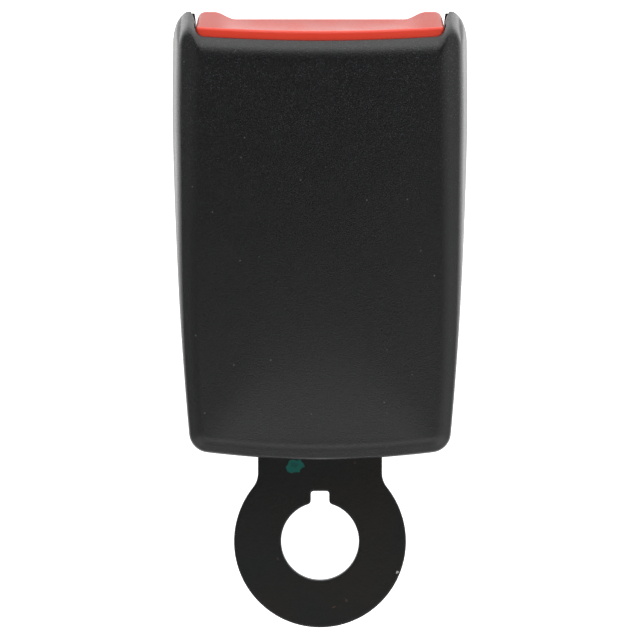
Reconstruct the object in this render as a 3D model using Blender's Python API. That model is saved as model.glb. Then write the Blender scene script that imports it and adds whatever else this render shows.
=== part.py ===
"""Seat belt buckle adapter: an end-release buckle riveted to a short steel anchor plate.

The buckle lies on its back. X is its width, Y its length, with the push button at the +Y end,
and Z its thickness. Lengths along Y are counted from the centre of the anchor plate's ring. A
parent empty then moves the whole model so that its middle lies on the world's Z axis, with the
back cover's flat face on the plane z = 0. All values are in metres, and angles in degrees.
"""

import math

import bmesh
import bpy
from mathutils import Vector

# Clearances
GAP = 0.0003                    # between two pieces that touch
OVERRUN = 0.002                 # how far a cutting tool reaches past what it cuts

# Anchor plate
RING_RADIUS = 0.0176
BOLT_HOLE_RADIUS = 0.00794
KEYWAY_WIDTH = 0.00373
KEYWAY_DEPTH = 0.00234
NECK_WIDTH = 0.0254
NECK_FILLET = 0.005
PLATE_THICKNESS = 0.003
PLATE_CORNER = 0.001            # cut off the plate's two inner corners
RIVET_RADIUS = 0.003
RIVET_HEAD_RADIUS = 0.0048
RIVET_HEAD_HEIGHT = 0.0015
RIVET_SPACING = 0.014
RIVET_FROM_END = 0.008          # from the plate's inner end

# Housing outline, seen from the front
HOUSING_START = 0.017           # from the ring's centre to the housing's lower end
HOUSING_LENGTH = 0.0911
HOUSING_WIDTH = 0.06034
WIDEST_HEIGHT = 0.071           # where the housing is widest, from its lower end
SIDE_TAPER = 0.00408            # how much each side draws in from there to the lower end
TAPER_POWER = 1.6
TIP_TAPER = 0.00025             # and from there to the ears' tips
LOWER_SAG = 0.00126             # how far the lower edge bows out in the middle
LOWER_CORNER = 0.0043
EAR_CORNER_WIDTH = 0.0031
EAR_CORNER_LENGTH = 0.0047

# Housing thickness and section
BACK_DEPTH = 0.0115             # back cover, from its flat face to the parting plane
FRONT_DEPTH = 0.0152            # front cover, from the parting plane to its crown
CROWN = 0.0014                  # how far the face rises from its creases to its middle
SHOULDER_INSET = 0.0012
SHOULDER_DROP = 0.0046          # below the crease
EDGE_INSET = 0.00265
EDGE_DROP = 0.0015
CREASE_INSET = 0.0056
FRONT_FALL = 0.0031             # the front face's fall from its highest part to the lower end
LOWER_EDGE_SHARE = 0.65         # how wide the bevel is at the lower end, as a share of the top's
BACK_EDGE_RADIUS = 0.003
WALL = 0.0022
FLOOR = 0.002

# Open end of the housing
END_ANGLE = 56.7                # slope of the end faces, from the housing's length
LIP_SETBACK = 0.0067            # from the ears' tips back to the inner edge of the front wall
LIP_THICKNESS = 0.0023
LIP_ROUNDING = 0.002
TIP_BLUNT = 0.0009              # how far back the ears' tips are blunted
COLLAR_WALL = 0.00487           # from the housing's widest side in to the opening
OPENING_CORNER = 0.0013
COLLAR_DEPTH = 0.0241

# Press button
BUTTON_DEPTH = 0.0108           # from its back wall to its front face
BUTTON_WALL = 0.0018
BUTTON_TRAVEL = 0.006
BUTTON_LENGTH = 0.0173          # from its open end to the low middle of its crest
CREST_SETBACK = 0.0017          # from the ears' tips back to the middle of the crest
CREST_RISE = 0.0015             # how far the crest's ends stand above its middle
SCOOP_HALF_WIDTH = 0.0160       # half width of the crest's low middle
SCOOP_RAMP = 0.0057             # width of the rise on each side of it
BUTTON_PROUD = 0.0013           # how far its front face shows past the front wall
BUTTON_CORNER = 0.0018
BUTTON_EDGE = 0.0008

# Base frame, a folded steel channel
FRAME_THICKNESS = 0.002
FRAME_SIDE_ROOM = 0.01217       # from the housing's widest side in to the channel
FRAME_BASE_HEIGHT = 0.006       # from the floor to the underside of the channel
FRAME_OVERLAP = 0.013           # how far it reaches under the anchor plate
FRAME_HIGH_WALL = 0.0195        # height of its high side walls, from the floor
FRAME_BEHIND_PIVOT = 0.004      # where the high walls start
FRAME_PAST_TOOTH = 0.003        # and where they end
WINDOW_LENGTH = 0.007

# Latch
PIVOT_PIN_RADIUS = 0.002
PIN_HEAD_RADIUS = 0.0028
PIN_HEAD_HEIGHT = 0.001
BARREL_WALL = 0.0008
LATCH_SIDE_ROOM = 0.0025        # from the channel's side wall to the latch
LATCH_THICKNESS = 0.0023
LATCH_UNDERSIDE = 0.0028        # below the pivot
TOOTH_REACH = 0.0245            # from the pivot to the tooth's far face
TOOTH_ROOM = 0.0066             # from the tooth to the button when it is pressed
TOOTH_THICKNESS = 0.0025
TOOTH_WIDTH = 0.010
TOOTH_DEPTH = 0.0092            # below the pivot
LATCH_SWING = 11.0
FOLLOWER_REACH = 0.016
FOLLOWER_RISE = 0.001
FOLLOWER_RADIUS = 0.0015
LUG_RADIUS = 0.0027
LUG_THICKNESS = 0.003
LUG_INSET = 0.001               # from the latch's edge to the lug

# Latch spring and its bridge
LATCH_SPRING_REACH = 0.010      # from the pivot
BRIDGE_HEADROOM = 0.0007        # from the bridge to the front cover's roof
LATCH_SPRING_RADIUS = 0.0025
LATCH_SPRING_WIRE = 0.0003
LATCH_SPRING_TURNS = 4
BRIDGE_LENGTH = 0.006
BRIDGE_THICKNESS = 0.0015
TAB_LENGTH = 0.003
SPRING_PEG_RADIUS = 0.0012
LATCH_PEG_LENGTH = 0.0016

# Release slider
SLIDER_PLATE = 0.0023
SLIDER_FOOT = 0.013             # height of its lower edge, from the floor
SLIDER_WEB = 0.0008             # above the top of its cam slots
SLIDER_BACK = 0.0045            # from the follower pin back to the slider's lower end
PRONG_LENGTH = 0.006            # how far the slider reaches into the button
CROSSBAR_LENGTH = 0.0035
CROSSBAR_DEPTH = 0.0023
LUG_FROM_FOLLOWER = 0.003       # from the follower pin to the spring lug
SPRING_LUG_LENGTH = 0.002
SPRING_LUG_DEPTH = 0.005
SPRING_LUG_WIDTH = 0.0054

# Button springs
BUTTON_SPRING_RADIUS = 0.0023
BUTTON_SPRING_WIRE = 0.00035
BUTTON_SPRING_LENGTH = 0.0179
BUTTON_SPRING_TURNS = 8
BUTTON_SPRING_ROOM = 0.0007     # from the slider's plate to the spring
BUTTON_SPRING_HEIGHT = 0.0175
SPRING_POST_LENGTH = 0.0025
SPRING_POST_WIDTH = 0.0048
SPRING_POST_RISE = 0.003        # above the spring's axis
POST_PEG_LENGTH = 0.003

# Ejector
EJECTOR_CLEARANCE = 0.0005      # to the channel's side walls
EJECTOR_LENGTH = 0.0165
EJECTOR_PAST_TOOTH = 0.0025     # how far its prongs reach past the tooth
EJECTOR_SLOT_CLEARANCE = 0.001
EJECTOR_SLOT_LEAD = 0.0015      # free length of its slot behind the tooth
EJECTOR_HUMP_WIDTH = 0.0072
EJECTOR_HUMP_WALL = 0.0006
EJECTOR_SPRING_RADIUS = 0.0016
EJECTOR_SPRING_WIRE = 0.00025
EJECTOR_SPRING_TURNS = 11
POCKET_DEPTH = 0.008
SPRING_SEAT_LENGTH = 0.0023
SPRING_SEAT_WIDTH = 0.010
SPRING_SEAT_HEIGHT = 0.0042
SEAT_PEG_RADIUS = 0.0008
SEAT_PEG_LENGTH = 0.003

# Tongue guide
GUIDE_LENGTH = 0.015
GUIDE_SETBACK = 0.0026          # from the ears' tips back to the guide's end
SLOT_SIDE_ROOM = 0.0022         # from the channel's side wall to the slot
SLOT_HEIGHT = 0.0046
SLOT_FLARE = 0.0012
GUIDE_ROOF = 0.001

# Cover screws and their bosses
SCREW_RADIUS = 0.00125
SCREW_HEAD_RADIUS = 0.0024
SCREW_HEAD_HEIGHT = 0.0016
SCREW_SEAT = 0.005              # depth of the recess for the head
SCREW_ENGAGEMENT = 0.006        # how far the screw reaches into the front cover
DRIVE_SLOT_WIDTH = 0.0007
DRIVE_SLOT_LENGTH = 0.003
DRIVE_SLOT_DEPTH = 0.0008
BOSS_RADIUS = 0.0032
LOWER_SCREW_FROM_SIDE = 0.0049
LOWER_SCREW_FROM_START = 0.008
UPPER_SCREW_SETBACK = 0.005     # from the collar

# Ribs that hold the frame
RIB_THICKNESS = 0.0016
RIB_SPACING = 0.028
HOLD_RIB_LENGTH = 0.007
HOLD_RIB_SETBACK = 0.005        # from the frame's lower end

# How finely round shapes are made
ARC_STEPS = 6
COIL_STEPS = 12                 # points along one turn of a spring
ROUND_SIDES = 24
SMALL_ROUND_SIDES = 16
SIDE_STEPS = 12
LOWER_STEPS = 6

# Proportions of the rounded sections
ROUND_INSET_SHARE = 0.3         # the rounded edge's middle point, between shoulder and edge
ROUND_DROP_SHARE = 0.45
INNER_DRAFT_SHARE = 0.3         # draft of the covers' inner walls, as a share of the outer
INNER_CORNER_LIMIT = 0.96       # most that an inner inset may be, as a share of the corner radius
CROWN_START_SHARE = 0.3         # where the face's middle line starts, as a share of its length
CROWN_SHARES = (0.3, 0.65, 1.0)
TRIM_LEAD_ANGLE = 12.0          # angle at which the end's rounding meets the face
CLOSE_PITCH = 2.6               # pitch of a spring's end turns, in wire radii

# Places across the buckle that follow from the sizes above
OPENING_HALF_WIDTH = HOUSING_WIDTH / 2 - COLLAR_WALL
BUTTON_HALF_WIDTH = OPENING_HALF_WIDTH - GAP
FRAME_OUTER = HOUSING_WIDTH / 2 - FRAME_SIDE_ROOM
FRAME_INNER = FRAME_OUTER - FRAME_THICKNESS
LATCH_HALF_WIDTH = FRAME_INNER - LATCH_SIDE_ROOM
SLOT_HALF_WIDTH = FRAME_INNER - SLOT_SIDE_ROOM
SLIDER_INNER = FRAME_OUTER + GAP
SLIDER_OUTER = SLIDER_INNER + SLIDER_PLATE
BUTTON_SPRING_X = SLIDER_OUTER + BUTTON_SPRING_ROOM + BUTTON_SPRING_RADIUS

# Heights
FRONT_BASE = BACK_DEPTH + GAP
FRONT_TOP = FRONT_BASE + FRONT_DEPTH
CREASE_HEIGHT = FRONT_DEPTH - CROWN
LIP_HEIGHT = FRONT_TOP - LIP_THICKNESS
BUTTON_FRONT = LIP_HEIGHT - GAP
BUTTON_BACK = BUTTON_FRONT - BUTTON_DEPTH
GUIDE_TOP = BUTTON_BACK - GAP
SLOT_TOP = GUIDE_TOP - GUIDE_ROOF
SLOT_BOTTOM = SLOT_TOP - SLOT_HEIGHT
BASE_TOP = FRAME_BASE_HEIGHT + FRAME_THICKNESS
FRAME_LOW_WALL = BUTTON_BACK - 2 * GAP
PLATE_BOTTOM = BASE_TOP + GAP
PLATE_TOP = PLATE_BOTTOM + PLATE_THICKNESS
EJECTOR_SPRING_Z = PLATE_BOTTOM + EJECTOR_SPRING_RADIUS + GAP
POCKET_TOP = EJECTOR_SPRING_Z + EJECTOR_SPRING_RADIUS + GAP
HUMP_TOP = POCKET_TOP + EJECTOR_HUMP_WALL
BARREL_RADIUS = PIVOT_PIN_RADIUS + GAP + BARREL_WALL
PIVOT_HEIGHT = HUMP_TOP + GAP + BARREL_RADIUS
FOLLOWER_Z = PIVOT_HEIGHT + FOLLOWER_RISE
LATCH_BOTTOM = PIVOT_HEIGHT - LATCH_UNDERSIDE
LATCH_TOP = LATCH_BOTTOM + LATCH_THICKNESS

# Places along the buckle, from its open end down
TIP = HOUSING_START + HOUSING_LENGTH
WIDEST = HOUSING_START + WIDEST_HEIGHT
LIP = TIP - LIP_SETBACK
COLLAR_START = TIP - COLLAR_DEPTH
GUIDE_END = TIP - GUIDE_SETBACK
GUIDE_START = GUIDE_END - GUIDE_LENGTH
CREST = TIP - CREST_SETBACK
BUTTON_START = CREST - BUTTON_LENGTH
TOOTH_END = BUTTON_START - BUTTON_TRAVEL - TOOTH_ROOM
TOOTH_START = TOOTH_END - TOOTH_THICKNESS
PIVOT_Y = TOOTH_END - TOOTH_REACH
FOLLOWER_Y = PIVOT_Y + FOLLOWER_REACH
SPRING_LUG_START = FOLLOWER_Y + LUG_FROM_FOLLOWER
LATCH_SPRING_Y = PIVOT_Y + LATCH_SPRING_REACH
EJECTOR_END = TOOTH_END + EJECTOR_PAST_TOOTH
EJECTOR_START = EJECTOR_END - EJECTOR_LENGTH
SEAT_END = PIVOT_Y - BARREL_RADIUS - GAP
SEAT_START = SEAT_END - SPRING_SEAT_LENGTH
PLATE_END = SEAT_START - GAP
RIVET_Y = PLATE_END - RIVET_FROM_END
FRAME_Y = PLATE_END - FRAME_OVERLAP
FRAME_END = GUIDE_START - GAP


# Scene and materials

def clear_scene():
    """Remove what the scene holds."""
    for item in list(bpy.data.objects):
        bpy.data.objects.remove(item, do_unlink=True)


def make_material(name, color, roughness, metallic=0.0):
    """A material of one Principled shader."""
    material = bpy.data.materials.new(name)
    material.use_nodes = True
    shader = material.node_tree.nodes["Principled BSDF"]
    shader.inputs["Base Color"].default_value = (*color, 1.0)
    shader.inputs["Roughness"].default_value = roughness
    shader.inputs["Metallic"].default_value = metallic
    return material


# Flat outlines

def arc(centre, radius, start, end, steps=ARC_STEPS):
    """Points along a round arc, with its angles in degrees."""
    points = []
    for step in range(steps + 1):
        angle = math.radians(start + (end - start) * step / steps)
        points.append((centre[0] + radius * math.cos(angle), centre[1] + radius * math.sin(angle)))
    return points


def rectangle(low, high):
    """The four corners of a rectangle."""
    return [(low[0], low[1]), (high[0], low[1]), (high[0], high[1]), (low[0], high[1])]


def channel_path(points, half_width):
    """Outline of a slot of one width along a path, with round ends."""
    left = []
    right = []
    for index, point in enumerate(points):
        before = Vector(points[max(index - 1, 0)])
        after = Vector(points[min(index + 1, len(points) - 1)])
        along = (after - before).normalized()
        across = Vector((-along.y, along.x)) * half_width
        left.append(Vector(point) + across)
        right.append(Vector(point) - across)
    first = math.degrees(math.atan2(points[1][1] - points[0][1], points[1][0] - points[0][0]))
    last = math.degrees(math.atan2(points[-1][1] - points[-2][1], points[-1][0] - points[-2][0]))
    end_cap = arc(points[-1], half_width, last - 90, last + 90)[1:-1]
    start_cap = arc(points[0], half_width, first + 90, first + 270)[1:-1]
    return [tuple(p) for p in right] + end_cap + [tuple(p) for p in reversed(left)] + start_cap


# Solids

AXES = {"X": (1, 2, 0), "Y": (0, 2, 1), "Z": (0, 1, 2)}


def finish_mesh(name, mesh_data, material=None):
    """Turn a bmesh into an object whose faces point outwards."""
    bmesh.ops.remove_doubles(mesh_data, verts=mesh_data.verts, dist=1e-7)
    bmesh.ops.recalc_face_normals(mesh_data, faces=mesh_data.faces)
    mesh = bpy.data.meshes.new(name)
    mesh_data.to_mesh(mesh)
    mesh_data.free()
    if material:
        mesh.materials.append(material)
    piece = bpy.data.objects.new(name, mesh)
    bpy.context.scene.collection.objects.link(piece)
    return piece


def loft(name, rings, material=None, close_start=True, close_end=True):
    """A solid through rings that all have the same number of points."""
    mesh_data = bmesh.new()
    layers = [[mesh_data.verts.new(point) for point in ring] for ring in rings]
    for lower, upper in zip(layers, layers[1:]):
        count = len(lower)
        for index in range(count):
            following = (index + 1) % count
            corners = (lower[index], lower[following], upper[following], upper[index])
            mesh_data.faces.new(corners)
    if close_start:
        mesh_data.faces.new(layers[0])
    if close_end:
        mesh_data.faces.new(layers[-1])
    return finish_mesh(name, mesh_data, material)


def prism(name, axis, outline, low, high, material=None):
    """A flat outline drawn out along one axis. Its points give the two other axes in X, Y, Z order."""
    first, second, along = AXES[axis]
    rings = []
    for level in (low, high):
        ring = []
        for point in outline:
            place = [0.0, 0.0, 0.0]
            place[first] = point[0]
            place[second] = point[1]
            place[along] = level
            ring.append(place)
        rings.append(ring)
    return loft(name, rings, material)


def box(name, low, high, material=None):
    """A block between two corners."""
    return prism(name, "Z", rectangle(low[:2], high[:2]), low[2], high[2], material)


def rod(name, axis, centre, radius, low, high, sides=ROUND_SIDES, material=None):
    """A round bar along one axis."""
    outline = arc(centre, radius, 0, 360, sides)[:-1]
    return prism(name, axis, outline, low, high, material)


def turned(name, axis, centre, profile, sides=ROUND_SIDES, material=None):
    """A round solid from a profile of (radius, place along the axis) pairs."""
    first, second, along = AXES[axis]
    rings = []
    for radius, level in profile:
        ring = []
        for point in arc(centre, radius, 0, 360, sides)[:-1]:
            place = [0.0, 0.0, 0.0]
            place[first] = point[0]
            place[second] = point[1]
            place[along] = level
            ring.append(place)
        rings.append(ring)
    return loft(name, rings, material)


def combine(piece, operation, tools):
    """Join tools to a piece (UNION) or cut them from it (DIFFERENCE), and remove the tools."""
    for tool in tools:
        modifier = piece.modifiers.new(tool.name, "BOOLEAN")
        modifier.operation = operation
        modifier.solver = "EXACT"
        modifier.object = tool
    bpy.context.view_layer.update()
    depsgraph = bpy.context.evaluated_depsgraph_get()
    shaped = bpy.data.meshes.new_from_object(piece.evaluated_get(depsgraph))
    before = piece.data
    piece.modifiers.clear()
    piece.data = shaped
    shaped.name = piece.name
    bpy.data.meshes.remove(before)
    for tool in tools:
        bpy.data.objects.remove(tool, do_unlink=True)
    return piece


def join(piece, *tools):
    """Add solids to a piece."""
    return combine(piece, "UNION", tools)


def cut(piece, *tools):
    """Take solids out of a piece."""
    return combine(piece, "DIFFERENCE", tools)


def soften(piece, angle=35.0):
    """Shade a piece smooth apart from its sharp edges."""
    piece.data.shade_smooth()
    piece.data.set_sharp_from_angle(angle=math.radians(angle))
    return piece


def coil_heights(turns, wire, length):
    """Distances along a compression spring whose two end turns lie close."""
    count = turns * COIL_STEPS
    close = CLOSE_PITCH * wire
    open_pitch = (length - 2 * wire - 2 * close) / (turns - 2)
    heights = []
    for step in range(count + 1):
        turn = step / COIL_STEPS
        first = min(turn, 1.0) * close
        middle = min(max(turn - 1.0, 0.0), turns - 2.0) * open_pitch
        last = max(turn - (turns - 1.0), 0.0) * close
        heights.append(wire + first + middle + last)
    return heights


def coil_spring(name, axis, centre, start, length, radius, wire, turns, material):
    """A round-wire compression spring, from start along one axis. radius is its outer radius."""
    first, second, along = AXES[axis]
    curve = bpy.data.curves.new(name, "CURVE")
    curve.dimensions = "3D"
    curve.bevel_depth = wire
    curve.bevel_resolution = 1
    curve.use_fill_caps = True
    heights = coil_heights(turns, wire, length)
    spline = curve.splines.new("POLY")
    spline.points.add(len(heights) - 1)
    for step, height in enumerate(heights):
        angle = 2 * math.pi * step / COIL_STEPS
        place = [0.0, 0.0, 0.0]
        place[first] = centre[0] + (radius - wire) * math.cos(angle)
        place[second] = centre[1] + (radius - wire) * math.sin(angle)
        place[along] = start + height
        spline.points[step].co = (*place, 1.0)
    curve.materials.append(material)
    spring = bpy.data.objects.new(name, curve)
    bpy.context.scene.collection.objects.link(spring)
    return spring


# Housing shape

def half_width(y):
    """Half the housing's width at a place along it."""
    if y < WIDEST:
        return HOUSING_WIDTH / 2 - SIDE_TAPER * ((WIDEST - y) / WIDEST_HEIGHT) ** TAPER_POWER
    return HOUSING_WIDTH / 2 - TIP_TAPER * ((y - WIDEST) / (TIP - WIDEST)) ** 2


def side_slope(y):
    """How fast the half width grows along the housing."""
    step = 0.0005
    return (half_width(y + step) - half_width(y - step)) / (2 * step)


def lower_edge(x):
    """Where the housing's bowed lower edge lies."""
    reach = HOUSING_WIDTH / 2 - SIDE_TAPER - LOWER_CORNER
    return HOUSING_START + LOWER_SAG * (x / reach) ** 2


def lower_slope(x):
    """Slope of the bowed lower edge."""
    reach = HOUSING_WIDTH / 2 - SIDE_TAPER - LOWER_CORNER
    return 2 * LOWER_SAG * x / reach ** 2


def height_share(y):
    """The front cover's height at a place along it, as a share of its greatest height."""
    fall = FRONT_FALL * (max(WIDEST - y, 0.0) / WIDEST_HEIGHT) ** 2
    return 1 - fall / FRONT_DEPTH


def edge_share(y):
    """Width of the bevelled edge at a place along the housing, as a share of its width at the top."""
    along = min(max((y - HOUSING_START) / HOUSING_LENGTH, 0.0), 1.0)
    return LOWER_EDGE_SHARE + (1 - LOWER_EDGE_SHARE) * along


def face_height(x, y):
    """Height of the front face at a place inside its creases."""
    crease = half_width(y) - CREASE_INSET * edge_share(y)
    bow = 1 - min(abs(x) / crease, 1.0) ** 2
    return FRONT_BASE + height_share(y) * (CREASE_HEIGHT + CROWN * bow)


def lower_corner():
    """Centre and end angles of the arc that rounds a lower corner."""
    radius = LOWER_CORNER
    x = HOUSING_WIDTH / 2 - radius
    y = HOUSING_START + radius
    for _ in range(30):
        side = math.atan(side_slope(y))
        foot = math.atan(lower_slope(x))
        x = half_width(y - radius * math.sin(side)) - radius * math.cos(side)
        y = lower_edge(x + radius * math.sin(foot)) + radius * math.cos(foot)
    return x, y, -90 + math.degrees(foot), -math.degrees(side)


def outline_stations(end, ear_corners):
    """Right half of the housing's outline, from the middle of its lower edge to that of its open end.

    Each station is (x, y, inward x, inward y), where the inward vector has unit length along the
    lower edge and the side, and shrinks to nothing at the middle of the open end.
    """
    corner_x, corner_y, start_angle, end_angle = lower_corner()
    stations = []
    foot_x = corner_x + LOWER_CORNER * math.cos(math.radians(start_angle))
    for step in range(LOWER_STEPS):
        x = foot_x * step / LOWER_STEPS
        inward = Vector((-lower_slope(x), 1)).normalized()
        stations.append((x, lower_edge(x), inward.x, inward.y))
    for step in range(ARC_STEPS + 1):
        angle = math.radians(start_angle + (end_angle - start_angle) * step / ARC_STEPS)
        cosine, sine = math.cos(angle), math.sin(angle)
        stations.append(
            (corner_x + LOWER_CORNER * cosine, corner_y + LOWER_CORNER * sine, -cosine, -sine)
        )
    side_start = stations[-1][1]
    side_end = end - (EAR_CORNER_LENGTH if ear_corners else 0.0)
    for step in range(1, SIDE_STEPS + 1):
        y = side_start + (side_end - side_start) * step / SIDE_STEPS
        stations.append((half_width(y), y, -1.0, 0.0))
    if ear_corners:
        for step in range(1, ARC_STEPS + 1):
            angle = math.pi / 2 * step / ARC_STEPS
            x = half_width(side_end) - EAR_CORNER_WIDTH * (1 - math.cos(angle))
            stations.append((x, side_end + EAR_CORNER_LENGTH * math.sin(angle), -1.0, 0.0))
    tip_x = stations[-1][0]
    for step in range(1, LOWER_STEPS + 1):
        share = 1 - step / LOWER_STEPS
        stations.append((tip_x * share, end, -share, 0.0))
    return stations


def full_ring(half):
    """Mirror the points of a right half into a closed ring. Its first and last lie on the middle."""
    left = [(-x, y, z) for x, y, z in half[1:-1]]
    return half + left[::-1]


def inset_ring(stations, inset, height, shares=True):
    """The outline drawn in by an inset, at a height that is a number or a function of (x, y)."""
    half = []
    for x, y, inward_x, inward_y in stations:
        amount = inset * edge_share(y) if shares else inset
        px = x + inward_x * amount
        py = y + inward_y * amount
        pz = height(px, py) if callable(height) else height
        half.append((px, py, pz))
    return full_ring(half)


def crown_ring(ring, share, height):
    """A ring moved towards the housing's middle line by a share of the way."""
    low = HOUSING_START + HOUSING_LENGTH * CROWN_START_SHARE
    moved = []
    for x, y, _ in ring:
        px = x * (1 - share)
        py = y + (max(y, low) - y) * share
        moved.append((px, py, height(px, py, share)))
    return moved


def crown_height(offset):
    """Height of the front face less an offset, over a ring's way to the middle line."""
    def height(_x, y, share):
        bow = 1 - (1 - share) ** 2
        return FRONT_BASE + height_share(y) * (CREASE_HEIGHT + CROWN * bow) - offset
    return height


def level_above_parting(rise):
    """A height above the parting plane that falls with the front face."""
    def height(_x, y):
        return FRONT_BASE + height_share(y) * rise
    return height


def front_body(name, material):
    """The front cover's outer shape as a full solid."""
    stations = outline_stations(TIP, True)
    round_inset = SHOULDER_INSET + ROUND_INSET_SHARE * (EDGE_INSET - SHOULDER_INSET)
    round_drop = EDGE_DROP + ROUND_DROP_SHARE * (SHOULDER_DROP - EDGE_DROP)
    rings = [
        inset_ring(stations, 0.0, FRONT_BASE),
        inset_ring(stations, SHOULDER_INSET, level_above_parting(CREASE_HEIGHT - SHOULDER_DROP)),
        inset_ring(stations, round_inset, level_above_parting(CREASE_HEIGHT - round_drop)),
        inset_ring(stations, EDGE_INSET, level_above_parting(CREASE_HEIGHT - EDGE_DROP)),
        inset_ring(stations, CREASE_INSET, level_above_parting(CREASE_HEIGHT)),
    ]
    crease = rings[-1]
    rings += [crown_ring(crease, share, crown_height(0.0)) for share in CROWN_SHARES]
    return loft(name, rings, material, close_end=False)


def front_cavity():
    """The hollow of the front cover, up to its collar."""
    stations = outline_stations(COLLAR_START + OVERRUN, False)
    depth = CREASE_HEIGHT - WALL
    drafted = WALL + INNER_DRAFT_SHARE * SHOULDER_INSET
    roof_inset = min(EDGE_INSET + EDGE_DROP, INNER_CORNER_LIMIT * LOWER_CORNER)
    rings = [
        inset_ring(stations, WALL, FRONT_BASE - OVERRUN, shares=False),
        inset_ring(stations, drafted, level_above_parting(depth - SHOULDER_DROP / 2), shares=False),
        inset_ring(
            stations, WALL + SHOULDER_INSET, level_above_parting(depth - EDGE_DROP / 2), shares=False
        ),
        inset_ring(stations, roof_inset, level_above_parting(depth), shares=False),
    ]
    inner = rings[-1]
    rings += [crown_ring(inner, share, crown_height(WALL)) for share in CROWN_SHARES]
    return loft("front_cavity", rings, close_end=False)


def opening_outline(top, bow):
    """Half of the open end's section, from the parting plane to its top, as (x, z) points.

    bow is how far the top falls from the middle to the corners.
    """
    corner = OPENING_CORNER
    side = OPENING_HALF_WIDTH
    shoulder = top - bow
    points = arc((side - corner, shoulder - corner), corner, 0, 90, 3)
    for step in range(1, LOWER_STEPS + 1):
        x = (side - corner) * (1 - step / LOWER_STEPS)
        points.append((x, top - bow * (x / (side - corner)) ** 2))
    return points


def front_opening():
    """The open end's hollow in the front cover."""
    half = opening_outline(LIP_HEIGHT, CROWN)
    right = [(OPENING_HALF_WIDTH, FRONT_BASE - OVERRUN)] + half
    outline = right + [(-x, z) for x, z in right[-2::-1]]
    return prism("front_opening", "Y", outline, COLLAR_START, TIP + OVERRUN)


def end_trim_outline():
    """What the sloped end leaves off the front cover, as (y, z) points, seen from the side."""
    angle = math.radians(END_ANGLE)
    slope = math.tan(angle)
    corner_y = LIP - LIP_THICKNESS / slope
    tangent = LIP_ROUNDING * math.tan(angle / 2)
    centre = (corner_y - tangent, FRONT_TOP - LIP_ROUNDING)
    points = arc(centre, LIP_ROUNDING, 90 - TRIM_LEAD_ANGLE, 90 - END_ANGLE, 4)
    lead = math.radians(TRIM_LEAD_ANGLE)
    reach = 2 * LIP_ROUNDING
    start = (points[0][0] - reach * math.cos(lead), points[0][1] + reach * math.sin(lead))
    tip_height = LIP_HEIGHT - LIP_SETBACK * slope
    blunt = [
        (TIP - TIP_BLUNT, tip_height + TIP_BLUNT * slope),
        (TIP - TIP_BLUNT / 3, tip_height - TIP_BLUNT / 4),
        (TIP + OVERRUN, tip_height - 4 * OVERRUN),
    ]
    over = FRONT_TOP + 2 * OVERRUN
    far = [(TIP + 2 * OVERRUN, tip_height - 4 * OVERRUN), (TIP + 2 * OVERRUN, over)]
    return [start] + points + blunt + far + [(start[0], over)]


def end_trim(name, outline):
    """A cutter as wide as the housing."""
    reach = HOUSING_WIDTH / 2 + OVERRUN
    return prism(name, "X", outline, -reach, reach)


def screw_places():
    """Where the cover screws stand, as (x, y) points: two near the lower end and two by the collar."""
    lower_y = HOUSING_START + LOWER_SCREW_FROM_START
    upper_y = COLLAR_START - UPPER_SCREW_SETBACK
    lower_x = half_width(lower_y) - LOWER_SCREW_FROM_SIDE
    upper_x = SLIDER_OUTER + GAP + BOSS_RADIUS
    return [(-lower_x, lower_y), (lower_x, lower_y), (-upper_x, upper_y), (upper_x, upper_y)]


def bridge_bottom():
    """Height of the spring bridge's underside, below the front cover's roof."""
    roof = face_height(FRAME_OUTER, LATCH_SPRING_Y - BRIDGE_LENGTH / 2) - WALL
    return roof - BRIDGE_HEADROOM - BRIDGE_THICKNESS


def boss_top(y):
    """Height to which a front cover boss rises into the cover's roof."""
    return FRONT_BASE + height_share(y) * (CREASE_HEIGHT - WALL - EDGE_DROP / 2)


def front_cover(material):
    """The front half of the housing, with its bosses and the ribs that hold the frame down."""
    cover = front_body("front_cover", material)
    cut(cover, end_trim("front_end_trim", end_trim_outline()))
    cut(cover, front_cavity())
    cut(cover, front_opening())
    bosses = [
        rod(f"front_boss_{number}", "Z", place, BOSS_RADIUS, FRONT_BASE, boss_top(place[1]))
        for number, place in enumerate(screw_places())
    ]
    join(cover, *bosses)
    hole_top = FRONT_BASE + SCREW_ENGAGEMENT + GAP
    holes = [
        rod(f"front_hole_{number}", "Z", place, SCREW_RADIUS + GAP, FRONT_BASE - OVERRUN, hole_top,
            SMALL_ROUND_SIDES)
        for number, place in enumerate(screw_places())
    ]
    cut(cover, *holes)
    join(cover, *[hold_rib(side) for side in (-1, 1)])
    return soften(cover)


def hold_rib(side):
    """A rib under the front cover's roof that keeps one side wall of the frame down."""
    low_y = FRAME_Y + HOLD_RIB_SETBACK
    middle = side * (FRAME_INNER + FRAME_OUTER) / 2
    half = FRAME_THICKNESS / 2
    roof = face_height(FRAME_OUTER, low_y) - WALL / 2
    low = (middle - half, low_y, FRAME_LOW_WALL + GAP)
    high = (middle + half, low_y + HOLD_RIB_LENGTH, roof)
    return box(f"hold_rib_{side}", low, high)


def back_body(material):
    """The back cover's outer shape as a full solid."""
    stations = outline_stations(TIP, True)
    rings = [inset_ring(stations, 0.0, BACK_DEPTH, shares=False)]
    draft = SHOULDER_INSET / 2
    for step in range(ARC_STEPS + 1):
        angle = math.pi / 2 * step / ARC_STEPS
        inset = draft + (BACK_EDGE_RADIUS - draft) * (1 - math.cos(angle))
        rings.append(inset_ring(stations, inset, BACK_EDGE_RADIUS * (1 - math.sin(angle)), shares=False))
    return loft("back_cover", rings, material)


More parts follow.
